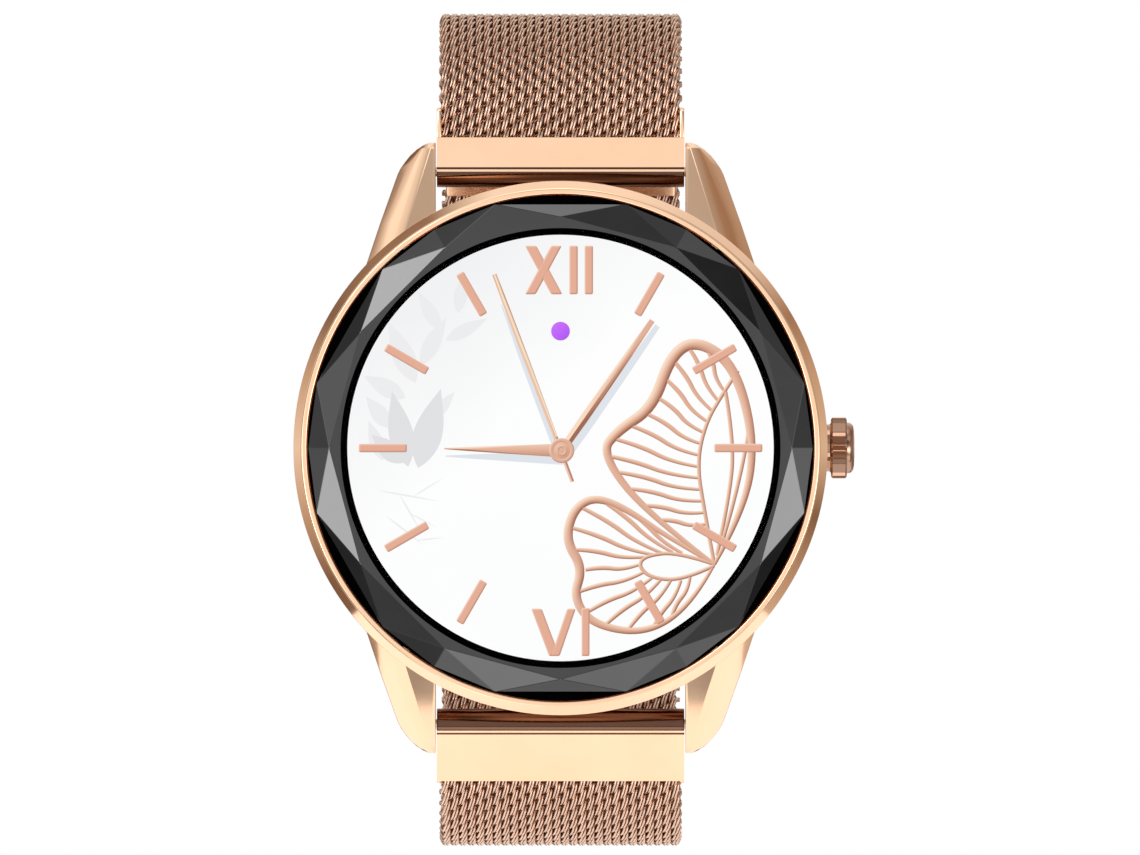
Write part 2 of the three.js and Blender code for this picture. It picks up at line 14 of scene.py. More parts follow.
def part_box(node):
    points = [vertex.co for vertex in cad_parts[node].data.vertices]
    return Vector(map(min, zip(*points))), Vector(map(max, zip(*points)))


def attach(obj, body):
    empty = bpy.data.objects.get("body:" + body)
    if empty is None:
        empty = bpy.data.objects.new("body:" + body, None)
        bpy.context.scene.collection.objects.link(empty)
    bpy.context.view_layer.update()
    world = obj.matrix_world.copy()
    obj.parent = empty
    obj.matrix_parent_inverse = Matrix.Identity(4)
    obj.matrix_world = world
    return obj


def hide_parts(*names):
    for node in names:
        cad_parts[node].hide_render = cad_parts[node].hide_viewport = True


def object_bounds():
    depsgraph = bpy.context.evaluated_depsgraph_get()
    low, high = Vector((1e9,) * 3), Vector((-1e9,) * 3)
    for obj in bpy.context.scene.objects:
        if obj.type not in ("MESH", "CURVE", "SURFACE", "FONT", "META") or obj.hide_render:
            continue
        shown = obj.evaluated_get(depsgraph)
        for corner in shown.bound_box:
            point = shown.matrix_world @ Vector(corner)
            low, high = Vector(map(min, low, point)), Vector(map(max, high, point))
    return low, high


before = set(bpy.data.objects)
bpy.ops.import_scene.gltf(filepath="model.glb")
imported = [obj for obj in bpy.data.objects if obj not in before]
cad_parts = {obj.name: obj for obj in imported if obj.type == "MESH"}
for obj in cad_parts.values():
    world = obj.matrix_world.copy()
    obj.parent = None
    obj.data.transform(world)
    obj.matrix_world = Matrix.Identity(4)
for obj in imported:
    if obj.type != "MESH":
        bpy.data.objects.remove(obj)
cad_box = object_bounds()

MM = 0.001
FULL_TURN = 2 * math.pi
FINE = 192

# Where the crown and the spring bars turn, in millimetres
CROWN_AXIS = Vector((0, -5.0, 0))
BAR = {"z": 22.2, "depth": 2.6}

# Dial and surround, in millimetres from the dial's centre
FACETS = 12
TABLE_VERTEX_RADIUS = 18.5
FACET_FOOT_DEPTH = 10.75
CRESCENT_DEPTH = 10.2
DISPLAY_RADIUS = 17.06
SURROUND_BORE = 17.6
MARK_OUTER = 16.15
MARK_LENGTH = 3.85
PICTURE_DEPTH = 10.16

# Woven mesh: flattened wire coils across the strap, each half a turn out of
# step with its neighbours
COIL_PITCH = 1.37
COIL_TURNS = 14
ROW_SPACING = 0.6
COIL_HALF_HEIGHT = 0.82
COIL_HALF_DEPTH = 0.56
TWIN_SHIFT = 0.115
WIRE = {"across": 0.1, "round": 0.24, "sides": 6, "steps": 12}
ROWS_PER_PIECE = 48

# Strap halves, each from its spring bar: a straight, a shoulder, a run and the
# round of the wrist. Tilts and sweeps are in degrees.
UPPER = {
    "name": "upper", "turn": 0, "tilt": 5, "straight": 4.5, "shoulder": 8.5, "run": 1.9,
    "back_radius": 33.9, "back_sweep": 78, "plate_end": 2.7, "flange_end": 5.1, "slot_start": 1.75,
}
LOWER = {
    "name": "lower", "turn": 180, "tilt": 30, "straight": 5.4, "shoulder": 9.35, "run": 0,
    "back_radius": 32.0, "back_sweep": 129.5, "plate_end": 4.65, "flange_end": 5.0, "slot_start": 2.2,
}


# ---------------------------------------------------------------- materials

class Finish:
    """A node material whose shader sockets are set by name."""

    def __init__(self, name):
        self.material = bpy.data.materials.new(name)
        self.material.use_nodes = True
        self.tree = self.material.node_tree
        self.shader = self.tree.nodes["Principled BSDF"]

    def set(self, **values):
        for socket, value in values.items():
            self.shader.inputs[socket.replace("_", " ")].default_value = value
        return self

    def node(self, kind, **settings):
        made = self.tree.nodes.new(kind)
        for key, value in settings.items():
            setattr(made, key, value)
        return made

    def link(self, source, target):
        self.tree.links.new(source, target)

    def noise(self, scale, detail=3.0):
        place = self.node("ShaderNodeTexCoord")
        noise = self.node("ShaderNodeTexNoise")
        noise.inputs["Scale"].default_value = scale
        noise.inputs["Detail"].default_value = detail
        self.link(place.outputs["Object"], noise.inputs["Vector"])
        return noise.outputs["Fac"]

    def spread(self, value, low, high):
        band = self.node("ShaderNodeMapRange")
        band.inputs["To Min"].default_value = low
        band.inputs["To Max"].default_value = high
        self.link(value, band.inputs["Value"])
        return band.outputs["Result"]

    def blend(self, value, first, second, start=0.35, end=0.65):
        ramp = self.node("ShaderNodeValToRGB")
        ramp.color_ramp.elements[0].position = start
        ramp.color_ramp.elements[1].position = end
        ramp.color_ramp.elements[0].color = (*first, 1)
        ramp.color_ramp.elements[1].color = (*second, 1)
        self.link(value, ramp.inputs["Fac"])
        return ramp.outputs["Color"]

    def bump(self, value, strength, distance):
        bump = self.node("ShaderNodeBump")
        bump.inputs["Strength"].default_value = strength
        bump.inputs["Distance"].default_value = distance
        self.link(value, bump.inputs["Height"])
        self.link(bump.outputs["Normal"], self.shader.inputs["Normal"])


def polished_rose_gold(name="polished_rose_gold", colour=(1.0, 0.665, 0.445), roughness=0.07):
    finish = Finish(name).set(Metallic=1.0)
    warmer = tuple(c * k for c, k in zip(colour, (0.97, 0.955, 0.93)))
    tone = finish.blend(finish.noise(180), warmer, colour)
    finish.link(tone, finish.shader.inputs["Base Color"])
    wipe = finish.spread(finish.noise(650, 5), roughness, roughness + 0.06)
    finish.link(wipe, finish.shader.inputs["Roughness"])
    return finish.material


def rose_wire_with_painted_shade():
    finish = Finish("rose_wire_with_painted_shade").set(Metallic=1.0)
    # Both tones are darker than the polished rose gold: painted shade for the depth of the weave. Between
    # them the tone varies at random.
    tone = finish.blend(finish.noise(900, 4), (0.66, 0.465, 0.36), (0.77, 0.55, 0.43))
    finish.link(tone, finish.shader.inputs["Base Color"])
    wear = finish.spread(finish.noise(500, 2), 0.16, 0.24)
    finish.link(wear, finish.shader.inputs["Roughness"])
    return finish.material


def black_ceramic():
    finish = Finish("black_ceramic").set(IOR=1.7)
    tone = finish.blend(finish.noise(300), (0.003, 0.003, 0.0035), (0.006, 0.006, 0.007))
    finish.link(tone, finish.shader.inputs["Base Color"])
    polish = finish.spread(finish.noise(500), 0.05, 0.09)
    finish.link(polish, finish.shader.inputs["Roughness"])
    return finish.material


def coated_crystal():
    finish = Finish("coated_crystal").set(Transmission_Weight=1.0, IOR=1.06)
    tone = finish.blend(finish.noise(60), (0.985, 0.99, 0.995), (1.0, 1.0, 1.0))
    finish.link(tone, finish.shader.inputs["Base Color"])
    clean = finish.spread(finish.noise(400), 0.0, 0.015)
    finish.link(clean, finish.shader.inputs["Roughness"])
    return finish.material


def black_print_and_painted_shadow():
    # Matte black with no sheen: printed black at the crystal's border, and painted shadow in the crescents
    # under the surround.
    finish = Finish("black_print_and_painted_shadow").set(Specular_IOR_Level=0.0)
    tone = finish.blend(finish.noise(800), (0.0006, 0.0006, 0.0007), (0.001, 0.001, 0.0012))
    finish.link(tone, finish.shader.inputs["Base Color"])
    grain = finish.spread(finish.noise(900), 0.5, 0.6)
    finish.link(grain, finish.shader.inputs["Roughness"])
    return finish.material


def plain(name, colour, roughness, metallic=0.0, grain=500, bump=0.0):
    """A moulded, plated or printed finish with a little grain."""
    finish = Finish(name).set(Metallic=metallic)
    darker = tuple(c * 0.86 for c in colour)
    tone = finish.blend(finish.noise(grain), darker, colour)
    finish.link(tone, finish.shader.inputs["Base Color"])
    mottle = finish.spread(finish.noise(grain * 2), roughness * 0.85, roughness * 1.15)
    finish.link(mottle, finish.shader.inputs["Roughness"])
    if bump:
        finish.bump(finish.noise(grain * 4), bump, 0.00002)
    return finish.material


def lit_screen():
    """The white picture on the display, a little greyer towards ten o'clock."""
    finish = Finish("lit_screen").set(Roughness=0.5, Specular_IOR_Level=0.0, Emission_Strength=1.0)
    finish.shader.inputs["Base Color"].default_value = (0, 0, 0, 1)
    place = finish.node("ShaderNodeTexCoord")
    towards_ten = finish.node("ShaderNodeVectorMath", operation="DOT_PRODUCT")
    towards_ten.inputs[1].default_value = (-28, 0, 34)
    finish.link(place.outputs["Object"], towards_ten.inputs[0])
    cloud = finish.node("ShaderNodeMath", operation="MULTIPLY_ADD")
    finish.link(finish.noise(160, 5), cloud.inputs[0])
    cloud.inputs[1].default_value = 0.25
    finish.link(towards_ten.outputs["Value"], cloud.inputs[2])
    tone = finish.blend(cloud.outputs["Value"], (0.99, 0.99, 0.99), (0.87, 0.87, 0.88), 0.3, 1.0)
    finish.link(tone, finish.shader.inputs["Emission Color"])
    return finish.material


def screen_ink(name, shaded, body, lit):
    """A colour on the lit screen, with painted highlight and shade by each surface's facing, for the raised
    look that the picture gives its marks.
    """
    finish = Finish(name).set(Roughness=0.5, Specular_IOR_Level=0.0, Emission_Strength=1.0)
    finish.shader.inputs["Base Color"].default_value = (0, 0, 0, 1)
    facing = finish.node("ShaderNodeNewGeometry")
    towards_lamp = finish.node("ShaderNodeVectorMath", operation="DOT_PRODUCT")
    towards_lamp.inputs[1].default_value = (-0.6, -0.35, 0.7)
    finish.link(facing.outputs["Normal"], towards_lamp.inputs[0])
    ramp = finish.node("ShaderNodeValToRGB")
    ramp.color_ramp.elements.new(0.5)
    for element, place, colour in zip(ramp.color_ramp.elements, (0.15, 0.34, 0.53), (shaded, body, lit)):
        element.position = place
        element.color = (*colour, 1)
    finish.link(towards_lamp.outputs["Value"], ramp.inputs["Fac"])
    finish.link(ramp.outputs["Color"], finish.shader.inputs["Emission Color"])
    return finish.material


FINISHES = {
    "rose": polished_rose_gold(),
    # The barrel's rose gold is darkened almost to black-brown: painted shade on the barrel.
    "barrel_shade_rose": polished_rose_gold("barrel_rose_gold_painted_shade", (0.13, 0.066, 0.043), 0.1),
    # The crown's rose gold is darkened: painted shade over its cap and flutes.
    "crown_shade_rose": polished_rose_gold("crown_rose_gold_painted_shade", (0.43, 0.255, 0.175), 0.07),
    "wire": rose_wire_with_painted_shade(),
    "ceramic": black_ceramic(),
    "crystal": coated_crystal(),
    "print_and_shadow": black_print_and_painted_shadow(),
    "screen": lit_screen(),
    "rose_ink": screen_ink("rose_ink", (0.36, 0.15, 0.09), (0.74, 0.42, 0.30), (0.96, 0.72, 0.56)),
    "mark_ink": screen_ink("mark_ink", (0.42, 0.19, 0.13), (0.78, 0.41, 0.29), (0.96, 0.70, 0.58)),
    "gilt_ink": screen_ink("gilt_ink", (0.85, 0.62, 0.42), (0.93, 0.76, 0.55), (0.98, 0.88, 0.70)),
    "leaf_ink": screen_ink("leaf_ink", (0.74, 0.74, 0.75), (0.76, 0.76, 0.77), (0.78, 0.78, 0.79)),
    "pale_leaf_ink": screen_ink("pale_leaf_ink", (0.83, 0.83, 0.84), (0.85, 0.85, 0.86), (0.87, 0.87, 0.88)),
    "shadow_ink": screen_ink("shadow_ink", (0.72, 0.77, 0.82), (0.74, 0.78, 0.83), (0.76, 0.80, 0.85)),
    "violet_ink": screen_ink("violet_ink", (0.30, 0.08, 0.75), (0.52, 0.13, 0.96), (0.62, 0.2, 1.0)),
    # A dark brown sheet inside the weave: painted shade in the gaps between the wires.
    "heart": plain("shaded_wire", (0.15, 0.062, 0.04), 0.6),
    "steel": plain("plain_steel", (0.55, 0.56, 0.57), 0.28, metallic=1.0),
    "rubber": plain("black_rubber", (0.012, 0.012, 0.012), 0.75, bump=0.3),
    "plastic": plain("black_plastic", (0.018, 0.018, 0.02), 0.5, bump=0.2),
    "board": plain("green_solder_mask", (0.012, 0.13, 0.055), 0.35, grain=900),
    "flex": plain("polyimide_film", (0.42, 0.17, 0.03), 0.3),
    "foil": plain("battery_foil", (0.42, 0.44, 0.47), 0.32, metallic=0.8, bump=0.3),
    "gold": plain("contact_gold", (0.95, 0.66, 0.24), 0.2, metallic=1.0),
    "led": plain("led_lens", (0.10, 0.62, 0.22), 0.2),
    "magnet": plain("nickel_plate", (0.38, 0.38, 0.37), 0.3, metallic=1.0),
    "sensor": plain("tinted_sensor_window", (0.008, 0.008, 0.011), 0.05),
}


# ------------------------------------------------------------ mesh building

def at_depth(radius, depth):
    """A point of a profile that is spun about the case's axis."""
    return Vector((radius, -depth, 0))


def rounded(points, radius, steps=3):
    """The same outline with each corner eased into a short curve."""
    eased = []
    count = len(points)
    for i, corner in enumerate(points):
        before, after = points[i - 1], points[(i + 1) % count]
        back, ahead = before - corner, after - corner
        reach = min(radius, back.length / 2.2, ahead.length / 2.2)
        start, end = corner + back.normalized() * reach, corner + ahead.normalized() * reach
        for k in range(steps + 1):
            t = k / steps
            eased.append(start * (1 - t) ** 2 + corner * 2 * t * (1 - t) + end * t ** 2)
    return eased


def spun(profile, axis=(0, 1, 0), centre=(0, 0, 0), steps=FINE):
    """Spins a closed outline about an axis into a ring or a solid."""
    bm = bmesh.new()
    verts = [bm.verts.new(point) for point in profile]
    edges = [bm.edges.new((a, b)) for a, b in zip(verts, verts[1:] + verts[:1])]
    bmesh.ops.spin(
        bm, geom=verts + edges, cent=centre, axis=axis, angle=FULL_TURN, steps=steps, use_merge=True)
    bmesh.ops.remove_doubles(bm, verts=bm.verts[:], dist=1e-4)
    bmesh.ops.dissolve_degenerate(bm, edges=bm.edges[:], dist=1e-5)
    bmesh.ops.recalc_face_normals(bm, faces=bm.faces[:])
    return bm


def ring(inner, outer, bottom, top, soften=0.08, steps=FINE):
    corners = [at_depth(inner, bottom), at_depth(outer, bottom), at_depth(outer, top), at_depth(inner, top)]
    return spun(rounded(corners, soften), steps=steps)


def disc(radius, bottom, top, soften=0.08, steps=FINE):
    """A round plate, spun from half its section, with its rim eased."""
    section = [at_depth(radius, bottom), at_depth(radius, top), at_depth(0, top), at_depth(0, bottom)]
    rim = rounded(section, soften)
    flat = [point for point in rim if point.x > radius * 0.5]
    return spun([at_depth(0, bottom)] + flat + [at_depth(0, top)], steps=steps)


def prism(outline, width, centre_x=0.0):
    """Extrudes a (y, z) outline across the watch."""
    bm = bmesh.new()
    face = bm.faces.new([bm.verts.new((centre_x - width / 2, y, z)) for y, z in outline])
    grown = bmesh.ops.extrude_face_region(bm, geom=[face])["geom"]
    verts = [item for item in grown if isinstance(item, bmesh.types.BMVert)]
    bmesh.ops.translate(bm, verts=verts, vec=(width, 0, 0))
    bmesh.ops.recalc_face_normals(bm, faces=bm.faces[:])
    return bm


def slab(outline, bottom, top):
    """Extrudes an (x, z) outline between two depths."""
    bm = bmesh.new()
    face = bm.faces.new([bm.verts.new((x, -bottom, z)) for x, z in outline])
    grown = bmesh.ops.extrude_face_region(bm, geom=[face])["geom"]
    verts = [item for item in grown if isinstance(item, bmesh.types.BMVert)]
    bmesh.ops.translate(bm, verts=verts, vec=(0, bottom - top, 0))
    bmesh.ops.recalc_face_normals(bm, faces=bm.faces[:])
    return bm


def hull(corners):
    """The smallest solid that holds all the corners, with its flat faces whole."""
    bm = bmesh.new()
    verts = [bm.verts.new(corner) for corner in corners]
    bmesh.ops.convex_hull(bm, input=verts)
    loose = [vert for vert in bm.verts if not vert.link_faces]
    bmesh.ops.delete(bm, geom=loose, context="VERTS")
    bmesh.ops.dissolve_limit(bm, angle_limit=math.radians(0.5), verts=bm.verts[:], edges=bm.edges[:])
    bmesh.ops.recalc_face_normals(bm, faces=bm.faces[:])
    return bm


def soften_edges(bm, width, segments=2, above=25):
    """Bevels every edge that turns by more than an angle in degrees."""
    sharp = [edge for edge in bm.edges if edge.is_manifold and edge.calc_face_angle() > math.radians(above)]
    bmesh.ops.bevel(
        bm, geom=sharp, offset=width, segments=segments, affect="EDGES", profile=0.5, material=-1,
        clamp_overlap=True)
    return bm


def together(*parts):
    """Gathers several closed shells into one bmesh."""
    whole = bmesh.new()
    for part in parts:
        held = bpy.data.meshes.new("held")
        part.to_mesh(held)
        whole.from_mesh(held)
        part.free()
        bpy.data.meshes.remove(held)
    return whole


def object_from(bm, name):
    mesh = bpy.data.meshes.new(name)
    bm.to_mesh(mesh)
    bm.free()
    made = bpy.data.objects.new(name, mesh)
    bpy.context.scene.collection.objects.link(made)
    return made


def carved(body, *tools):
    """Cuts tools out of a body and gives the result back as a bmesh."""
    target = object_from(body, "carving")
    cutters = [object_from(tool, "cutter") for tool in tools]
    for cutter in cutters:
        step = target.modifiers.new("cut", "BOOLEAN")
        step.operation = "DIFFERENCE"
        step.solver = "EXACT"
        step.object = cutter
    seen = target.evaluated_get(bpy.context.evaluated_depsgraph_get())
    bm = bmesh.new()
    bm.from_mesh(seen.to_mesh())
    seen.to_mesh_clear()
    for used in [target, *cutters]:
        held = used.data
        bpy.data.objects.remove(used)
        bpy.data.meshes.remove(held)
    return bm


def finish_piece(bm, name, body, finish, stands_for=(), smooth_below=30, flat_faces=False):
    """Scales a piece to metres, shades it, gives it its finish and puts it on its body."""
    bmesh.ops.scale(bm, vec=(MM, MM, MM), verts=bm.verts[:])
    piece = object_from(bm, name)
    piece.data.shade_smooth()
    piece.data.set_sharp_from_angle(angle=math.radians(smooth_below))
    piece.data.materials.append(FINISHES[finish])
    if flat_faces:
        keep_flat = piece.modifiers.new("keep_big_faces_flat", "WEIGHTED_NORMAL")
        keep_flat.keep_sharp = True
    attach(piece, body)
    if stands_for:
        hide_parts(*stands_for)
    return piece


def reach_of(node):
    """A turned node's outer radius and its depths, in millimetres."""
    low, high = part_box(node)
    return high.z / MM, -high.y / MM, -low.y / MM


# --------------------------------------------------------------------- case

def make_bezel():
    outer, bottom, top = reach_of("bezel_ring")
    inner, ridge = outer - 1.1, outer - 0.6
    outline = [
        at_depth(inner, bottom), at_depth(outer - 0.15, bottom), at_depth(outer, bottom + 0.25),
        at_depth(outer, bottom + 0.85), at_depth(ridge, top - 0.08), at_depth(ridge - 0.1, top),
        at_depth(inner + 0.06, top), at_depth(inner, top - 0.1),
    ]
    bezel = spun(rounded(outline, 0.05))
    finish_piece(bezel, "bezel", "case", "rose", ["bezel_ring"], flat_faces=True)


def make_case_middle():
    radius, bottom, top = 20.5, 0.4, 9.0
    bore, spigot, shoulder = 18.6, 20.05, 8.6
    outline = [
        at_depth(bore, bottom + 0.1), at_depth(19.3, bottom), at_depth(radius, 1.6),
        at_depth(radius, shoulder), at_depth(spigot, shoulder), at_depth(spigot, top), at_depth(bore, top),
    ]
    lugs = [lug(side, end) for side in (1, -1) for end in (1, -1)]
    whole = together(spun(rounded(outline, 0.12)), *lugs)
    finish_piece(
        whole, "case_middle_and_lugs", "case", "rose", ["mid_case"], flat_faces=True)


def lug(side, end):
    """A wedge with one ridge between its inner and outer facets, and an outer edge that curves to the tip.

    Its corners are (x, depth, z) for the lug beside twelve o'clock on the crown's side.
    """
    inner, low = 10.05, 0.7
    ridge_root, ridge_tip = (12.95, 8.8, 15.9), (10.45, 4.3, 24.1)
    edge_root, edge_waist = (15.85, 7.3, 13.9), (14.5, 5.3, 18.0)
    corners = [
        (inner, low, 15.0), (inner, 8.8, 15.9), (14.0, low, 13.0), ridge_root, edge_root,
        (15.85, low, 13.9), (inner, 4.3, 23.9), ridge_tip, (inner, 1.6, 24.5), (10.5, 3.3, 24.55),
        (inner, low, 22.8), (inner, 3.4, 24.55), edge_waist, (14.5, low, 18.0),
    ]
    rounded_edge = [
        (13.1, 3.25, 22.0), (12.85, 3.1, 22.5), (12.5, 3.05, 23.0), (12.1, 3.05, 23.5), (11.55, 3.2, 24.0),
        (11.0, 3.3, 24.35),
    ]
    corners += rounded_edge + [(x, low + 0.6 * (z > 22.7), z) for x, _, z in rounded_edge]
    corners += crowned_facet(ridge_root, ridge_tip, [edge_root, edge_waist, *rounded_edge[::2]])
    wedge = hull([Vector((side * x, -depth, end * z)) for x, depth, z in corners])
    return soften_edges(wedge, 0.07, segments=3, above=26)


def crowned_facet(ridge_start, ridge_end, edge, crown=0.13):
    """Points that stand a little proud of the flat between a ridge and an outer edge."""
    first, last, found = Vector(ridge_start), Vector(ridge_end), []
    outward = (Vector(edge[1]) - first).cross(last - first).normalized()
    outward *= crown if outward.x > 0 else -crown
    for i, place in enumerate(edge):
        ridge = first.lerp(last, i / (len(edge) - 1))
        for share in (0.25, 0.5, 0.75):
            found.append(tuple(ridge.lerp(Vector(place), share) + outward * 4 * share * (1 - share)))
    return found


def around(clock_degrees, radius, depth):
    """A point in front of the dial, clockwise from twelve o'clock."""
    angle = math.radians(clock_degrees)
    return Vector((radius * math.sin(angle), -depth, radius * math.cos(angle)))


def make_surround():
    """The black ring: twelve bright kites, with a dark facet or a pair of them in each gap."""
    foot, base, table = reach_of("facet_ring")
    step = 360 / FACETS
    rim = [step * (i + 0.5) for i in range(FACETS)] + [step * (2 * i + 1) for i in range(FACETS // 2)]
    corners = [around(step * i, TABLE_VERTEX_RADIUS, table) for i in range(FACETS)]
    corners += [around(clock, foot, depth) for clock in rim for depth in (FACET_FOOT_DEPTH, base)]
    cut_gem = soften_edges(hull(corners), 0.03, segments=1, above=5)
    opening = disc(SURROUND_BORE, 10.0, table + 1, soften=0.01)
    well = disc(17.15, base - 1, 10.5, soften=0.01)
    whole = carved(cut_gem, opening, well)
    finish_piece(
        whole, "faceted_surround", "case", "ceramic", ["facet_ring"], smooth_below=3)
    # A matte black bed under the facets, with no sheen: painted shadow in the crescents between the facets
    # and the case.
    floor = ring(17.95, 20.27, 9.5, CRESCENT_DEPTH, soften=0.05)
    finish_piece(floor, "surround_painted_shadow_bed", "case", "print_and_shadow")


def make_crystal():
    radius, bottom, top = reach_of("cover_glass")
    glass = disc(radius, bottom, top, soften=0.18)
    finish_piece(glass, "crystal", "case", "crystal", ["cover_glass"])
    border = ring(DISPLAY_RADIUS, SURROUND_BORE + 0.02, bottom - 0.1, bottom - 0.04, soften=0.01)
    finish_piece(border, "crystal_black_border", "case", "print_and_shadow")


def make_back():
    """The plate against the wrist, with holes for its sensor window, screws and charging contacts."""
    radius, _, top = reach_of("back_cover")
    window_hole, screw_circle = 5.8, 17.0
    holes = [disc(window_hole, -1, top + 1, soften=0.01)]
    for i in range(4):
        angle = math.radians(45 + 90 * i)
        place = (screw_circle * math.cos(angle), 0, screw_circle * math.sin(angle))
        for hole_radius, hole_top in ((0.65, top + 1), (1.0, 0.6)):
            hole = disc(hole_radius, -1, hole_top, soften=0.01, steps=32)
            bmesh.ops.translate(hole, verts=hole.verts[:], vec=place)
            holes.append(hole)
        screw = carved(disc(0.85, 0.1, 0.5, soften=0.1, steps=32), *cross_recess())
        bmesh.ops.translate(screw, verts=screw.verts[:], vec=place)
        finish_piece(screw, f"case_screw_head_{i + 1}", "case", "steel", [f"case_screw_{i + 1}"])
    for x in (-2.1, 2.1):
        hole = disc(1.05, -1, top + 1, soften=0.01, steps=32)
        bmesh.ops.translate(hole, verts=hole.verts[:], vec=(x, 0, -9.5))
        holes.append(hole)
    cover = soften_edges(carved(disc(radius, 0, top, soften=0.12), *holes), 0.05, above=40)
    finish_piece(cover, "back_plate", "case", "rose", ["back_cover"], flat_faces=True)
    window_radius, _, window_top = reach_of("sensor_window")
    window = disc(window_radius, 0, window_top, soften=0.15)
    finish_piece(window, "sensor_lens", "case", "sensor", ["sensor_window"])


def cross_recess():
    """Two crossed bars that are cut into a screw's head."""
    bars = []
    for long_x in (True, False):
        half_x, half_z = (0.5, 0.11) if long_x else (0.11, 0.5)
        outline = [(-half_x, -half_z), (half_x, -half_z), (half_x, half_z), (-half_x, half_z)]
        bars.append(slab(outline, 0.0, 0.3))
    return bars


# -------------------------------------------------------------------- crown

def fluted_ring(flutes, radius, depth, start, end):
    """A ring round the crown's axis with V-shaped flutes and eased ends."""
    ease, narrow = 0.12, 0.94
    bm = bmesh.new()
    corners = bmesh.ops.create_circle(bm, segments=2 * flutes, radius=radius, cap_ends=True)["verts"]
    bmesh.ops.scale(bm, vec=Vector((1, 1, 1)) * (1 - depth / radius), verts=corners[::2])
    bmesh.ops.scale(bm, vec=(narrow, narrow, 1), verts=corners)
    lid = bm.faces[:]
    stages = ((ease, 1 / narrow), (end - start - 2 * ease, 1), (ease, narrow))
    for i, (rise, scale) in enumerate(stages):
        grown = bmesh.ops.extrude_face_region(bm, geom=lid)["geom"]
        if i > 0:
            bmesh.ops.delete(bm, geom=lid, context="FACES_ONLY")
        lid = [item for item in grown if isinstance(item, bmesh.types.BMFace)]
        rim = lid[0].verts[:]
        bmesh.ops.translate(bm, vec=(0, 0, rise), verts=rim)
        bmesh.ops.scale(bm, vec=(scale, scale, 1), verts=rim)
    turn = Matrix.Translation((start, CROWN_AXIS.y, 0)) @ Matrix.Rotation(math.pi / 2, 4, "Y")
    bmesh.ops.transform(bm, matrix=turn, verts=bm.verts[:])
    bmesh.ops.recalc_face_normals(bm, faces=bm.faces[:])
    return bm


def turned_on_crown_axis(section):
    """Spins a section, given as (radius, x), about the crown's axis."""
    profile = [Vector((x, CROWN_AXIS.y - radius, 0)) for radius, x in section]
    return spun(profile, axis=(1, 0, 0), centre=CROWN_AXIS)


def make_crown():
    """A neck that is hollow for its tube and stem, a domed cap, and a ring of flutes between them."""
    socket = [(0, 22.95), (0.75, 22.95), (0.75, 22.3), (1.57, 22.3), (1.57, 21.15)]
    neck = [(1.9, 21.15), (1.9, 21.62), (2.1, 21.8), (2.1, 22.9)]
    dome = [(2.05, 23.06), (2.03, 23.22), (1.93, 23.38), (1.75, 23.5), (1.4, 23.57), (0.8, 23.6), (0, 23.6)]
    cap = turned_on_crown_axis(socket + neck + dome)
    # Cap and flutes take the darkened rose gold: painted shade.
    finish_piece(cap, "crown", "crown", "crown_shade_rose", ["crown_knob"], smooth_below=40)
    opening = turned_on_crown_axis([(0, 21), (1.98, 21), (1.98, 24), (0, 24)])
    ring_of_flutes = carved(fluted_ring(flutes=30, radius=2.45, depth=0.24, start=21.72, end=22.98), opening)
    finish_piece(ring_of_flutes, "crown_flutes", "crown", "crown_shade_rose", smooth_below=20)


# -------------------------------------------------------------------- strap

def to_watch(half):
    """From a strap half's own frame, with the spring bar at its origin, to the watch's."""
    side = -1 if half["turn"] else 1
    place = Matrix.Translation((0, -BAR["depth"], side * BAR["z"]))
    return place @ Matrix.Rotation(math.radians(half["turn"]), 4, "Y")


def stations(half, spacing):
    """Points (y, z, heading) along a band, from inside its end link to its far end."""
    tilt = math.radians(half["tilt"])
    stretches = [
        (half["straight"], None), (half["shoulder"] * (math.pi / 2 - tilt), half["shoulder"]),
        (half["run"], None), (half["back_radius"] * math.radians(half["back_sweep"]), half["back_radius"]),
    ]
    walked = half["slot_start"] + 0.3
    room = sum(length for length, _ in stretches) - walked - 0.02
    spacing = room / round(room / spacing)
    y, z, heading = 0.0, 0.0, tilt
    found = []
    for length, radius in stretches:
        while walked <= length:
            if radius:
                ahead = heading + walked / radius
                found.append((
                    y + radius * (math.cos(heading) - math.cos(ahead)),
                    z + radius * (math.sin(ahead) - math.sin(heading)), ahead))
            else:
                found.append((y + walked * math.sin(heading), z + walked * math.cos(heading), heading))
            walked += spacing
        walked -= length
        if radius:
            ahead = heading + length / radius
            y += radius * (math.cos(heading) - math.cos(ahead))
            z += radius * (math.sin(ahead) - math.sin(heading))
            heading = ahead
        else:
            y += length * math.sin(heading)
            z += length * math.cos(heading)
    return found


def wire_coil(first_side):
    """One flattened coil of wire across the strap. first_side is -1 or 1: where its end starts."""
    bm = bmesh.new()
    start = Vector((-COIL_PITCH * COIL_TURNS / 2, first_side, 0))
    section = bmesh.ops.create_circle(bm, segments=WIRE["sides"], radius=1.0, cap_ends=False)["verts"]
    bmesh.ops.scale(bm, vec=(WIRE["across"], WIRE["round"], 1), verts=section)
    bmesh.ops.translate(bm, vec=start, verts=section)
    steps = WIRE["steps"] * COIL_TURNS
    bmesh.ops.spin(
        bm, geom=bm.verts[:] + bm.edges[:], cent=(0, 0, 0), axis=(1, 0, 0), angle=-FULL_TURN * COIL_TURNS,
        steps=steps, dvec=(COIL_PITCH / WIRE["steps"], 0, 0))
    bmesh.ops.remove_doubles(bm, verts=bm.verts[:], dist=1e-4)
    bmesh.ops.holes_fill(bm, edges=[edge for edge in bm.edges if edge.is_boundary], sides=WIRE["sides"])
    bmesh.ops.scale(bm, vec=(1, COIL_HALF_HEIGHT, COIL_HALF_DEPTH), verts=bm.verts[:])
    bmesh.ops.recalc_face_normals(bm, faces=bm.faces[:])
    mesh = bpy.data.meshes.new("wire_coil")
    bm.to_mesh(mesh)
    bm.free()
    return mesh


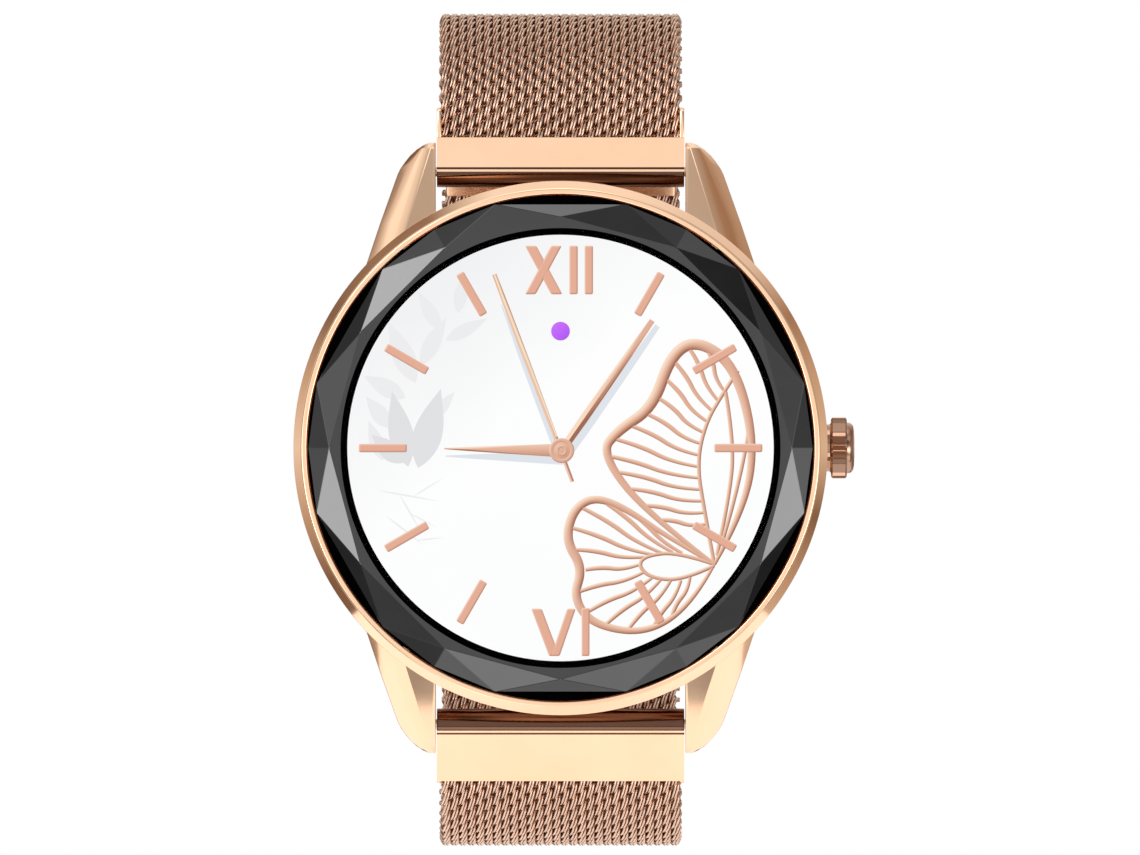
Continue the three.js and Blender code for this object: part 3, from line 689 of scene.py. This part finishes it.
def make_mesh_band(half, coils):
    """Lays twin coils at every station, each pair half a turn out of step with the last."""
    places = stations(half, ROW_SPACING)
    home = to_watch(half)
    name = half["name"]
    for first in range(0, len(places), ROWS_PER_PIECE):
        bm = bmesh.new()
        for i, (y, z, heading) in enumerate(places[first:first + ROWS_PER_PIECE], first):
            along = Vector((0, math.sin(heading), math.cos(heading)))
            outward = Vector((0, -math.cos(heading), math.sin(heading)))
            turn = Matrix((Vector((1, 0, 0)), along, outward)).transposed().to_4x4()
            for shift in (-TWIN_SHIFT, TWIN_SHIFT):
                coil = coils[i % 2].copy()
                coil.transform(home @ Matrix.Translation((shift, y, z)) @ turn)
                bm.from_mesh(coil)
                bpy.data.meshes.remove(coil)
        part = first // ROWS_PER_PIECE + 1
        finish_piece(
            bm, f"{name}_woven_mesh_{part}", f"{name}_strap", "wire", [f"{name}_mesh_band"],
            smooth_below=80)


def make_mesh_heart(half):
    """A thin dark brown strip at the heart of the weave: painted shade in the gaps between the wires. It also
    blocks light from behind, as the wires hidden inside it would.
    """
    places = stations(half, 1.2)
    half_depth = 0.12
    sides = [[], []]
    for y, z, heading in places:
        for side, reach in zip(sides, (-half_depth, half_depth)):
            side.append((y + reach * math.cos(heading), z - reach * math.sin(heading)))
    bm = prism(sides[0] + sides[1][::-1], 18.7)
    bmesh.ops.transform(bm, matrix=to_watch(half), verts=bm.verts[:])
    name = half["name"]
    finish_piece(bm, f"{name}_mesh_heart", f"{name}_strap", "heart")


def link_outline(half):
    """The side view of a link's plate: a lip and a groove, then two leaves that hold the mesh."""
    face, leaf, plate_end, slot = 1.25, 0.4, half["plate_end"], half["slot_start"]
    groove_floor = -face + 0.24
    outline = [(-face, -0.1), (face, -0.1), (face, plate_end), (face - leaf, plate_end), (face - leaf, slot)]
    outline += [(leaf - face, slot), (leaf - face, plate_end), (-face, plate_end)]
    outline += [(-face, 0.26), (groove_floor, 0.23), (groove_floor, 0.12), (-face, 0.08)]
    return outline


def make_end_link(half):
    """A polished plate over the mesh's end, two side cheeks, and a barrel on the spring bar."""
    wide, cheek_width, face = 19.9, 0.35, 1.23
    flange_end = half["flange_end"]
    body = prism(link_outline(half), wide)
    far_edges = [edge for edge in body.edges if min(vert.co.z for vert in edge.verts) > 1]
    bmesh.ops.bevel(body, geom=far_edges, offset=0.06, segments=2, affect="EDGES", profile=0.5, material=-1)
    parts = [body]
    cheek = [(-face, 1.2), (-face, flange_end - 0.3), (0.3 - face, flange_end), (face - 0.3, flange_end),
             (face, flange_end - 0.3), (face, 1.2)]
    for side in (-1, 1):
        middle = side * (wide - cheek_width - 0.02) / 2
        parts.append(soften_edges(prism(cheek, cheek_width, middle), 0.07))
    bm = together(*parts)
    tilt = to_watch(half) @ Matrix.Rotation(-math.radians(half["tilt"]), 4, "X")
    bmesh.ops.transform(bm, matrix=tilt, verts=bm.verts[:])
    name, body_name = half["name"], f"{half['name']}_strap"
    finish_piece(bm, f"{name}_link", body_name, "rose", [f"{name}_end_link"], flat_faces=True)
    end, radius, ease = wide / 2 - 0.01, 1.24, 0.06
    half_section = [(end - ease, radius), (end, radius - ease), (end, 0)]
    section = [(-x, reach) for x, reach in half_section[::-1]] + half_section
    barrel = spun([Vector((x, -reach, 0)) for x, reach in section], axis=(1, 0, 0), steps=96)
    bmesh.ops.transform(barrel, matrix=tilt, verts=barrel.verts[:])
    # The barrel takes the darkened rose gold: painted shade.
    finish_piece(barrel, f"{name}_link_barrel", body_name, "barrel_shade_rose")


def softened_copy(node, width):
    """A merged copy of a CAD node with its sharp edges eased, in millimetres."""
    bm = bmesh.new()
    bm.from_mesh(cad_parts[node].data)
    bmesh.ops.scale(bm, vec=(1 / MM, 1 / MM, 1 / MM), verts=bm.verts[:])
    bmesh.ops.remove_doubles(bm, verts=bm.verts[:], dist=1e-3)
    bmesh.ops.dissolve_limit(bm, angle_limit=math.radians(0.5), verts=bm.verts[:], edges=bm.edges[:])
    return soften_edges(bm, width)


def make_clasp():
    """The clasp's housing and the cap of the strap's tail, with eased edges."""
    for node, body in (("clasp_housing", "upper_strap"), ("tail_cap", "lower_strap")):
        shell = softened_copy(node, 0.22)
        finish_piece(shell, f"{node}_shell", body, "rose", [node], flat_faces=True)


# ----------------------------------------------------------- dial's picture

def bar_outline(centre, angle, length, width):
    """A straight stroke, with angle clockwise from twelve o'clock along its length."""
    along = Vector((math.sin(angle), math.cos(angle))) * length / 2
    across = Vector((math.cos(angle), -math.sin(angle))) * width / 2
    middle = Vector(centre)
    return [tuple(middle + a * along + c * across) for a, c in ((-1, -1), (-1, 1), (1, 1), (1, -1))]


def raised(outline, layer, ease=0.13, height=0.09):
    """A mark on the picture: built tall with eased edges, then pressed almost flat."""
    tall = 3 * ease
    bm = soften_edges(slab(outline, 0, tall), ease, segments=2, above=40)
    bmesh.ops.scale(bm, vec=(1, height / tall, 1), verts=bm.verts[:])
    bmesh.ops.translate(bm, vec=(0, -PICTURE_DEPTH - layer, 0), verts=bm.verts[:])
    return bm


def make_hour_marks():
    marks = []
    for hour in (1, 2, 3, 4, 5, 7, 8, 9, 10, 11):
        angle = math.radians(30 * hour)
        middle = MARK_OUTER - MARK_LENGTH / 2
        centre = (middle * math.sin(angle), middle * math.cos(angle))
        marks.append(raised(bar_outline(centre, angle, MARK_LENGTH, 0.68), 0.05))
    finish_piece(together(*marks), "hour_marks", "case", "mark_ink", smooth_below=2)


def sloping_stroke(top_x, foot_x, width, top, foot):
    """A stroke whose ends are cut level."""
    half = width / 2
    return [(top_x - half, top), (top_x + half, top), (foot_x + half, foot), (foot_x - half, foot)]


def make_numerals():
    """Twelve and six in plain strokes."""
    strokes = [
        sloping_stroke(-2.4, -0.3, 0.9, 16.2, 12.3), sloping_stroke(-0.32, -2.42, 0.86, 16.2, 12.3),
        sloping_stroke(1.04, 1.04, 0.68, 16.2, 12.3), sloping_stroke(2.26, 2.26, 0.68, 16.2, 12.3),
        sloping_stroke(-1.93, -0.5, 0.84, -12.85, -16.65), sloping_stroke(0.88, -0.42, 0.7, -12.85, -16.65),
        sloping_stroke(2.0, 2.0, 0.64, -12.8, -16.65),
    ]
    numerals = together(*[raised(outline, 0.05 + 0.003 * i) for i, outline in enumerate(strokes)])
    finish_piece(numerals, "numerals", "case", "mark_ink", smooth_below=2)


def needle(start, end, widths):
    """A hand's spine, and its outline through the widths given from its root to its tip."""
    first, last = Vector(start), Vector(end)
    across = (last - first).orthogonal().normalized()
    count = len(widths) - 1
    spine = [first.lerp(last, i / count) for i in range(count + 1)]
    left = [p + across * w / 2 for p, w in zip(spine, widths)]
    right = [p - across * w / 2 for p, w in zip(spine, widths)]
    return spine, left + right[::-1]


def ridged(start, end, widths, layer, height=0.09):
    """A hand with a ridge down its middle."""
    spine, outline = needle(start, end, widths)
    bottom = PICTURE_DEPTH + layer
    corners = [Vector((x, -bottom, z)) for x, z in outline]
    corners += [Vector((x, -bottom - height, z)) for x, z in spine[:-1]]
    return hull(corners)


HUB = (0.1, -0.2)
HOUR_HAND = ((-9.3, -0.05), [1.1, 0.86, 0.62, 0.38, 0.1])
MINUTE_HAND = ((7.35, 10.2), [0.62, 0.70, 0.66, 0.58, 0.44])
SECOND_TIP = (-5.3, 13.9)
SECOND_TAIL = (0.95, -2.7)


def moved_to_hub(bm):
    bmesh.ops.translate(bm, verts=bm.verts[:], vec=(HUB[0], 0, HUB[1]))
    return bm


def make_hands():
    """Hour and minute hands on a ringed hub, and a thin second hand with a gilt core."""
    parts = [ridged(HUB, *HOUR_HAND, 0.04), ridged(HUB, *MINUTE_HAND, 0.05)]
    parts.append(moved_to_hub(disc(1.0, PICTURE_DEPTH + 0.06, PICTURE_DEPTH + 0.16, soften=0.1, steps=48)))
    for radius, wide, layer in ((0.98, 0.3, 0.13), (0.45, 0.22, 0.17)):
        bottom = PICTURE_DEPTH + layer
        parts.append(moved_to_hub(ring(radius - wide, radius, bottom, bottom + 0.04, soften=0.1, steps=48)))
    finish_piece(together(*parts), "hour_and_minute_hands", "case", "rose_ink", smooth_below=20)
    rim = ridged(SECOND_TAIL, SECOND_TIP, [0.3, 0.34, 0.4, 0.44, 0.44, 0.36], 0.08, height=0.06)
    finish_piece(rim, "second_hand", "case", "rose_ink", smooth_below=2)
    core = ridged((-0.3, 0.9), SECOND_TIP, [0.16, 0.2, 0.22, 0.2, 0.12], 0.12, height=0.04)
    finish_piece(core, "second_hand_core", "case", "gilt_ink", smooth_below=2)


def make_hand_shadows():
    """The soft grey shadows that the display draws under its hands."""
    parts = []
    sunk = [
        (HUB, *HOUR_HAND, (0.1, -0.6)), (HUB, *MINUTE_HAND, (0.42, -0.42)),
        (HUB, (-4.4, 11.6), [0.5, 0.5, 0.4, 0.08], (-0.34, -0.1)),
    ]
    for i, (start, end, widths, shift) in enumerate(sunk):
        _, outline = needle(Vector(start) + Vector(shift), Vector(end) + Vector(shift), widths)
        parts.append(slab(outline, PICTURE_DEPTH + 0.012, PICTURE_DEPTH + 0.016 + 0.002 * i))
    finish_piece(together(*parts), "hand_shadows", "case", "shadow_ink")


def make_violet_dot():
    dot = disc(0.75, PICTURE_DEPTH + 0.03, PICTURE_DEPTH + 0.06, soften=0.02, steps=48)
    bmesh.ops.translate(dot, verts=dot.verts[:], vec=(0, 0, 9.35))
    finish_piece(dot, "violet_dot", "case", "violet_ink")


def leaf_outline(root, angle, length, width):
    """A pointed leaf from its root, with angle clockwise from twelve o'clock."""
    along = Vector((math.sin(angle), math.cos(angle)))
    across = Vector((along.y, -along.x))
    steps = 14
    left, right = [], []
    for i in range(steps + 1):
        t = i / steps
        half = width / 2 * math.sin(math.pi * t ** 0.85) * (1 - 0.25 * t)
        middle = Vector(root) + along * length * t
        left.append(middle + across * half)
        right.append(middle - across * half)
    return [tuple(point) for point in left + right[-2:0:-1]]


def make_leaves():
    """Faint sprigs and twigs at the left of the picture, as (root, angle, length, width)."""
    dark = [((-12.2, -1.5), -12, 6.2, 2.2), ((-11.4, -1.6), 16, 6.6, 2.6), ((-12.6, -1.2), -48, 3.4, 1.7)]
    pale = [((-11.6, 5.2), -24, 5.4, 2.0), ((-11.2, 6.6), 28, 4.4, 1.5), ((-12.4, 4.0), -62, 3.8, 1.6),
            ((-13.6, 1.6), -38, 3.2, 1.5), ((-9.6, 9.4), -30, 3.6, 1.3), ((-9.2, 8.6), 62, 3.8, 1.2),
            ((-14.2, -1.0), -20, 3.4, 1.3), ((-10.4, 2.2), 40, 3.0, 1.1), ((-8.2, 10.8), 8, 3.2, 1.2)]
    twigs = [((-14.6, -3.4), 100, 5.2, 0.16), ((-11.8, -3.9), 58, 3.0, 0.14), ((-12.9, -3.7), 150, 3.6, 0.16),
             ((-12.1, -5.2), 118, 2.6, 0.13), ((-14.0, -5.4), 128, 4.0, 0.16), ((-11.6, -7.4), 84, 2.4, 0.13)]
    sprigs = (("sprig", dark, "leaf_ink", 0.008), ("far_sprig", pale + twigs, "pale_leaf_ink", 0.002))
    for name, leaves, ink, layer in sprigs:
        parts = []
        for i, (root, angle, length, width) in enumerate(leaves):
            outline = leaf_outline(root, math.radians(angle), length, width)
            parts.append(slab(outline, PICTURE_DEPTH + layer, PICTURE_DEPTH + layer + 0.002 + 0.0005 * i))
        finish_piece(together(*parts), name, "case", ink)


def ribbon(points, radii, name):
    """A rounded stroke of changing width, as a mesh, laid on the picture."""
    curve = bpy.data.curves.new(name, "CURVE")
    curve.dimensions = "3D"
    curve.bevel_depth = 1.0
    curve.bevel_resolution = 2
    curve.resolution_u = 8
    curve.use_fill_caps = True
    line = curve.splines.new("NURBS")
    line.points.add(len(points) - 1)
    line.order_u = 3
    line.use_endpoint_u = True
    for point, (x, z), radius in zip(line.points, points, radii):
        point.co = (x, 0, z, 1)
        point.radius = radius
    holder = bpy.data.objects.new(name, curve)
    bm = bmesh.new()
    bm.from_mesh(holder.to_mesh())
    bpy.data.objects.remove(holder)
    bpy.data.curves.remove(curve)
    bmesh.ops.scale(bm, vec=(1, 0.16, 1), verts=bm.verts[:])
    bmesh.ops.translate(bm, vec=(0, -PICTURE_DEPTH - 0.02, 0), verts=bm.verts[:])
    return bm


UPPER_WING = {
    "rim": [(12.3, -9.3), (6.8, -5.2), (3.2, -0.4), (4.6, 1.4), (7.4, 3.2), (8.8, 7.4), (10.9, 8.7),
            (14.0, 6.6), (15.6, 0.2), (14.6, -5.2), (12.3, -9.3)],
    "spine": [(12.3, -9.3), (11.5, -5.0), (10.9, -1.2), (11.6, 2.0), (13.0, 4.4), (14.2, 6.2)],
    "stays": [[(12.5, -8.6), (13.5, -4.0), (13.9, 0.4), (13.2, 4.5)],
              [(12.9, -7.6), (14.4, -2.8), (15.2, 2.2)]],
    "width": 0.46, "ribs": 13, "bow": 0.32, "from": (0.2, 0.88), "to": (0.13, 0.57),
}
LOWER_WING = {
    "rim": [(12.3, -9.3), (8.4, -7.0), (5.0, -4.7), (2.6, -3.9), (1.0, -5.0), (0.4, -7.4), (1.8, -9.6),
            (1.0, -12.0), (2.6, -14.2), (7.0, -14.9), (10.6, -12.4), (12.3, -9.3)],
    "spine": [(12.3, -9.3), (9.4, -8.3), (6.8, -8.6), (6.2, -9.4), (7.2, -10.4), (9.8, -10.6), (12.3, -9.4)],
    "stays": [],
    "width": 0.38, "ribs": 12, "bow": 0.3, "from": (0.2, 0.84), "to": (0.24, 0.84),
}


def along(points, fraction):
    """The point at a fraction of a line's whole length."""
    line = [Vector(point) for point in points]
    lengths = [(b - a).length for a, b in zip(line, line[1:])]
    left = fraction * sum(lengths)
    for start, end, length in zip(line, line[1:], lengths):
        if left <= length:
            return start.lerp(end, left / length)
        left -= length
    return line[-1]


def make_wings():
    """Two openwork wings of an own pattern: a raised rim, a spine, and ribs from one to the other."""
    parts = []
    for wing in (UPPER_WING, LOWER_WING):
        rim, spine, count = wing["rim"], wing["spine"], len(wing["rim"])
        radii = [wing["width"] * (0.35 + 0.65 * math.sin(math.pi * i / (count - 1))) for i in range(count)]
        parts.append(ribbon(rim, radii, "rim"))
        for line in [spine, *wing["stays"]]:
            parts.append(ribbon(line, [0.16] * len(line), "spine"))
        for i in range(wing["ribs"]):
            share = i / (wing["ribs"] - 1)
            (spine_low, spine_high), (rim_low, rim_high) = wing["from"], wing["to"]
            start = along(spine, spine_low + (spine_high - spine_low) * share)
            end = along(rim, rim_low + (rim_high - rim_low) * share)
            end += (start - end).normalized() * 0.25
            bow = (end - start).orthogonal().normalized() * wing["bow"]
            bends = [start.lerp(end, 0.3) + bow, start.lerp(end, 0.7) - bow * 0.4]
            parts.append(ribbon([start, *bends, end], [0.13, 0.16, 0.2, 0.15], "rib"))
    finish_piece(together(*parts), "wing_picture", "case", "rose_ink", smooth_below=60)


def make_picture():
    screen = disc(DISPLAY_RADIUS + 0.04, 9.4, PICTURE_DEPTH - 0.01, soften=0.03)
    finish_piece(screen, "display_picture", "case", "screen", ["display_panel"])
    make_leaves()
    make_hand_shadows()
    make_wings()
    make_hour_marks()
    make_numerals()
    make_violet_dot()
    make_hands()


# ------------------------------------------------------ carried-over pieces

CARRIED_OVER = {
    "rubber": ["crystal_gasket", "back_seal", "crown_seal"],
    "plastic": ["display_bracket", "tact_switch", "photodiode", "switch_button"],
    "flex": ["display_flex"],
    "board": ["main_board", "sensor_board"],
    "foil": ["battery"],
    "led": ["sensor_led_1", "sensor_led_2"],
    "gold": ["charge_contact_1", "charge_contact_2"],
    "magnet": ["clasp_magnet"],
    "rose": ["clasp_plate", "crown_tube"],
}


def dress_carried_over():
    chosen = {node: finish for finish, nodes in CARRIED_OVER.items() for node in nodes}
    for node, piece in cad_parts.items():
        piece.data.materials.clear()
        piece.data.materials.append(FINISHES[chosen.get(node, "steel")])


# ------------------------------------------------------------------- studio

def light_studio():
    """One large soft round lamp in front, as bright as white paper."""
    distance, size, radiance = 2.6, 1.9, 0.98
    lamp = bpy.data.lights.new("front_panel", "AREA")
    lamp.shape = "DISK"
    lamp.size = size
    lamp.energy = radiance * math.pi * math.pi * (size / 2) ** 2
    holder = bpy.data.objects.new("front_panel", lamp)
    bpy.context.scene.collection.objects.link(holder)
    away = Vector((0, -1, 0.02)).normalized()
    holder.location = away * distance
    holder.rotation_mode = "QUATERNION"
    holder.rotation_quaternion = away.to_track_quat("Z", "Y")


# Cards round the watch, in rings from in front of it to behind it. A card is a clock
# angle in degrees and the brightness there. The first ring lights the kites, the second
# the paired facets, the third the single facets, the fourth the lugs and the last the
# bezel's slope. A ring fades in from the one before between two values of Y.
RINGS = [
    {"fade": (-0.94, -0.90), "cards": [
        (15, 0.40), (45, 0.14), (75, 0.7), (105, 5.4), (135, 0.5), (165, 2.0), (180, 2.3), (195, 2.6),
        (225, 0.4), (255, 6.2), (285, 1.2), (315, 6.6), (345, 0.9)]},
    {"fade": (-0.74, -0.69), "cards": [
        (0, 0.5), (22, 0.55), (38, 1.0), (60, 0.4), (82, 0.45), (98, 1.6), (120, 0.4), (142, 1.6), (158, 1.2),
        (180, 0.3), (202, 1.6), (218, 0.35), (240, 0.3), (262, 1.0), (278, 0.6), (300, 0.3), (322, 1.0),
        (338, 0.65)]},
    {"fade": (-0.40, -0.34), "cards": [
        (0, 2.3), (30, 0.5), (60, 0.45), (90, 0.6), (120, 0.12), (150, 0.6), (180, 3.0), (210, 0.8),
        (240, 0.18), (270, 0.5), (300, 0.33), (330, 0.6)]},
    {"fade": (-0.10, 0.28), "warm": True, "cards": [
        (0, 0.9), (51, 0.34), (90, 0.5), (128, 0.85), (180, 0.95), (231, 0.8), (270, 0.75), (309, 1.15)]},
    {"fade": (0.34, 0.58), "warm": True, "cards": [
        (0, 1.0), (15, 1.05), (30, 0.87), (45, 0.83), (60, 0.36), (75, 0.59), (90, 0.72), (105, 0.19),
        (120, 0.47), (135, 0.72), (150, 0.33), (165, 0.95), (180, 1.0), (195, 0.93), (210, 0.23),
        (225, 0.17), (240, 0.17), (255, 0.52), (270, 0.86), (285, 0.58), (300, 0.16), (315, 0.25),
        (330, 0.24), (345, 1.0)]},
]
CARD_SCALE = 8.0


def card_ring(tree, clock, cards, warm):
    """A colour for each clock angle. Dim cards in a warm ring are redder than bright ones."""
    ramp = tree.nodes.new("ShaderNodeValToRGB")
    tree.links.new(clock, ramp.inputs["Fac"])
    places = sorted(((angle + 180) % 360 / 360, level) for angle, level in cards)
    places.append((1.0, dict(cards)[180]))
    elements = ramp.color_ramp.elements
    while len(elements) < len(places):
        elements.new(0.5)
    for element, (position, level) in zip(elements, places):
        warmth = min(1.0, 0.5 + 0.55 * level) if warm else 1.0
        element.position = position
        element.color = (level / CARD_SCALE, warmth * level / CARD_SCALE, warmth ** 2 * level / CARD_SCALE, 1)
    return ramp.outputs["Color"]


def crossfade(tree, height, fade, before, after):
    """Blends one ring of cards into the next between two values of the direction's Y."""
    step = tree.nodes.new("ShaderNodeMapRange")
    step.inputs["From Min"].default_value, step.inputs["From Max"].default_value = fade
    tree.links.new(height, step.inputs["Value"])
    mix = tree.nodes.new("ShaderNodeMix")
    mix.data_type = "RGBA"
    tree.links.new(step.outputs["Result"], mix.inputs["Factor"])
    if before:
        tree.links.new(before, mix.inputs[6])
    else:
        mix.inputs[6].default_value = (0.005, 0.005, 0.005, 1)
    tree.links.new(after, mix.inputs[7])
    return mix.outputs[2]


def paint_sky():
    """Plain white to the eye; to the watch, rings of light and dark cards."""
    world = bpy.data.worlds.new("studio")
    world.use_nodes = True
    bpy.context.scene.world = world
    tree = world.node_tree
    tree.nodes.clear()
    place = tree.nodes.new("ShaderNodeTexCoord")
    split = tree.nodes.new("ShaderNodeSeparateXYZ")
    tree.links.new(place.outputs["Generated"], split.inputs[0])
    clock = tree.nodes.new("ShaderNodeMath")
    clock.operation = "ARCTAN2"
    tree.links.new(split.outputs["X"], clock.inputs[0])
    tree.links.new(split.outputs["Z"], clock.inputs[1])
    turn = tree.nodes.new("ShaderNodeMapRange")
    turn.inputs["From Min"].default_value = -math.pi
    turn.inputs["From Max"].default_value = math.pi
    tree.links.new(clock.outputs["Value"], turn.inputs["Value"])
    around_watch = None
    for row in RINGS:
        shown = card_ring(tree, turn.outputs["Result"], row["cards"], row.get("warm", False))
        around_watch = crossfade(tree, split.outputs["Y"], row["fade"], around_watch, shown)
    finish_sky(tree, around_watch)


def finish_sky(tree, cards):
    """Shows the cards to everything but the camera, which sees plain white."""
    studio = tree.nodes.new("ShaderNodeBackground")
    studio.inputs["Strength"].default_value = CARD_SCALE
    white = tree.nodes.new("ShaderNodeBackground")
    tree.links.new(cards, studio.inputs["Color"])
    white.inputs["Color"].default_value = (1, 1, 1, 1)
    eye = tree.nodes.new("ShaderNodeLightPath")
    mix = tree.nodes.new("ShaderNodeMixShader")
    out = tree.nodes.new("ShaderNodeOutputWorld")
    tree.links.new(eye.outputs["Is Camera Ray"], mix.inputs["Fac"])
    tree.links.new(studio.outputs["Background"], mix.inputs[1])
    tree.links.new(white.outputs["Background"], mix.inputs[2])
    tree.links.new(mix.outputs["Shader"], out.inputs["Surface"])


def lit_floor():
    """A pale acrylic sheet lit from below."""
    finish = Finish("pale_floor").set(Emission_Strength=0.67)
    tone = finish.blend(finish.noise(30), (0.86, 0.86, 0.86), (0.9, 0.9, 0.9))
    finish.link(tone, finish.shader.inputs["Base Color"])
    finish.link(tone, finish.shader.inputs["Emission Color"])
    sheen = finish.spread(finish.noise(60), 0.6, 0.7)
    finish.link(sheen, finish.shader.inputs["Roughness"])
    return finish.material


def make_floor():
    """A small sheet, far enough below that the opened strap stays above it."""
    width, depth, middle_y, drop = 0.13, 0.075, 0.012, 0.02
    low, _ = cad_box
    bm = bmesh.new()
    bmesh.ops.create_grid(bm, x_segments=1, y_segments=1, size=0.5)
    bmesh.ops.scale(bm, vec=(width, depth, 1), verts=bm.verts[:])
    bmesh.ops.translate(bm, vec=(0, middle_y, low.z - drop), verts=bm.verts[:])
    floor = object_from(bm, "floor")
    floor.data.materials.append(lit_floor())


def place_camera():
    """A long lens straight ahead of the dial, a little above its centre."""
    distance, frame_width, sensor = 1.6, 0.0912, 36
    aim_x, aim_z = 0.00076, 0.00164
    low, _ = cad_box
    lens = bpy.data.cameras.new("camera")
    lens.sensor_width = sensor
    lens.lens = sensor * distance / frame_width
    holder = bpy.data.objects.new("camera", lens)
    bpy.context.scene.collection.objects.link(holder)
    holder.location = (aim_x, low.y - distance, aim_z)
    holder.rotation_euler = (math.pi / 2, 0, 0)
    lens.clip_end = 20
    bpy.context.scene.camera = holder
    bpy.context.scene.view_settings.view_transform = "Standard"


def build():
    place_camera()
    dress_carried_over()
    make_bezel()
    make_case_middle()
    make_surround()
    make_crystal()
    make_picture()
    make_back()
    make_crown()
    coils = [wire_coil(-1), wire_coil(1)]
    for half in (UPPER, LOWER):
        make_end_link(half)
        make_mesh_band(half, coils)
        make_mesh_heart(half)
    make_clasp()
    light_studio()
    paint_sky()
    make_floor()


build()
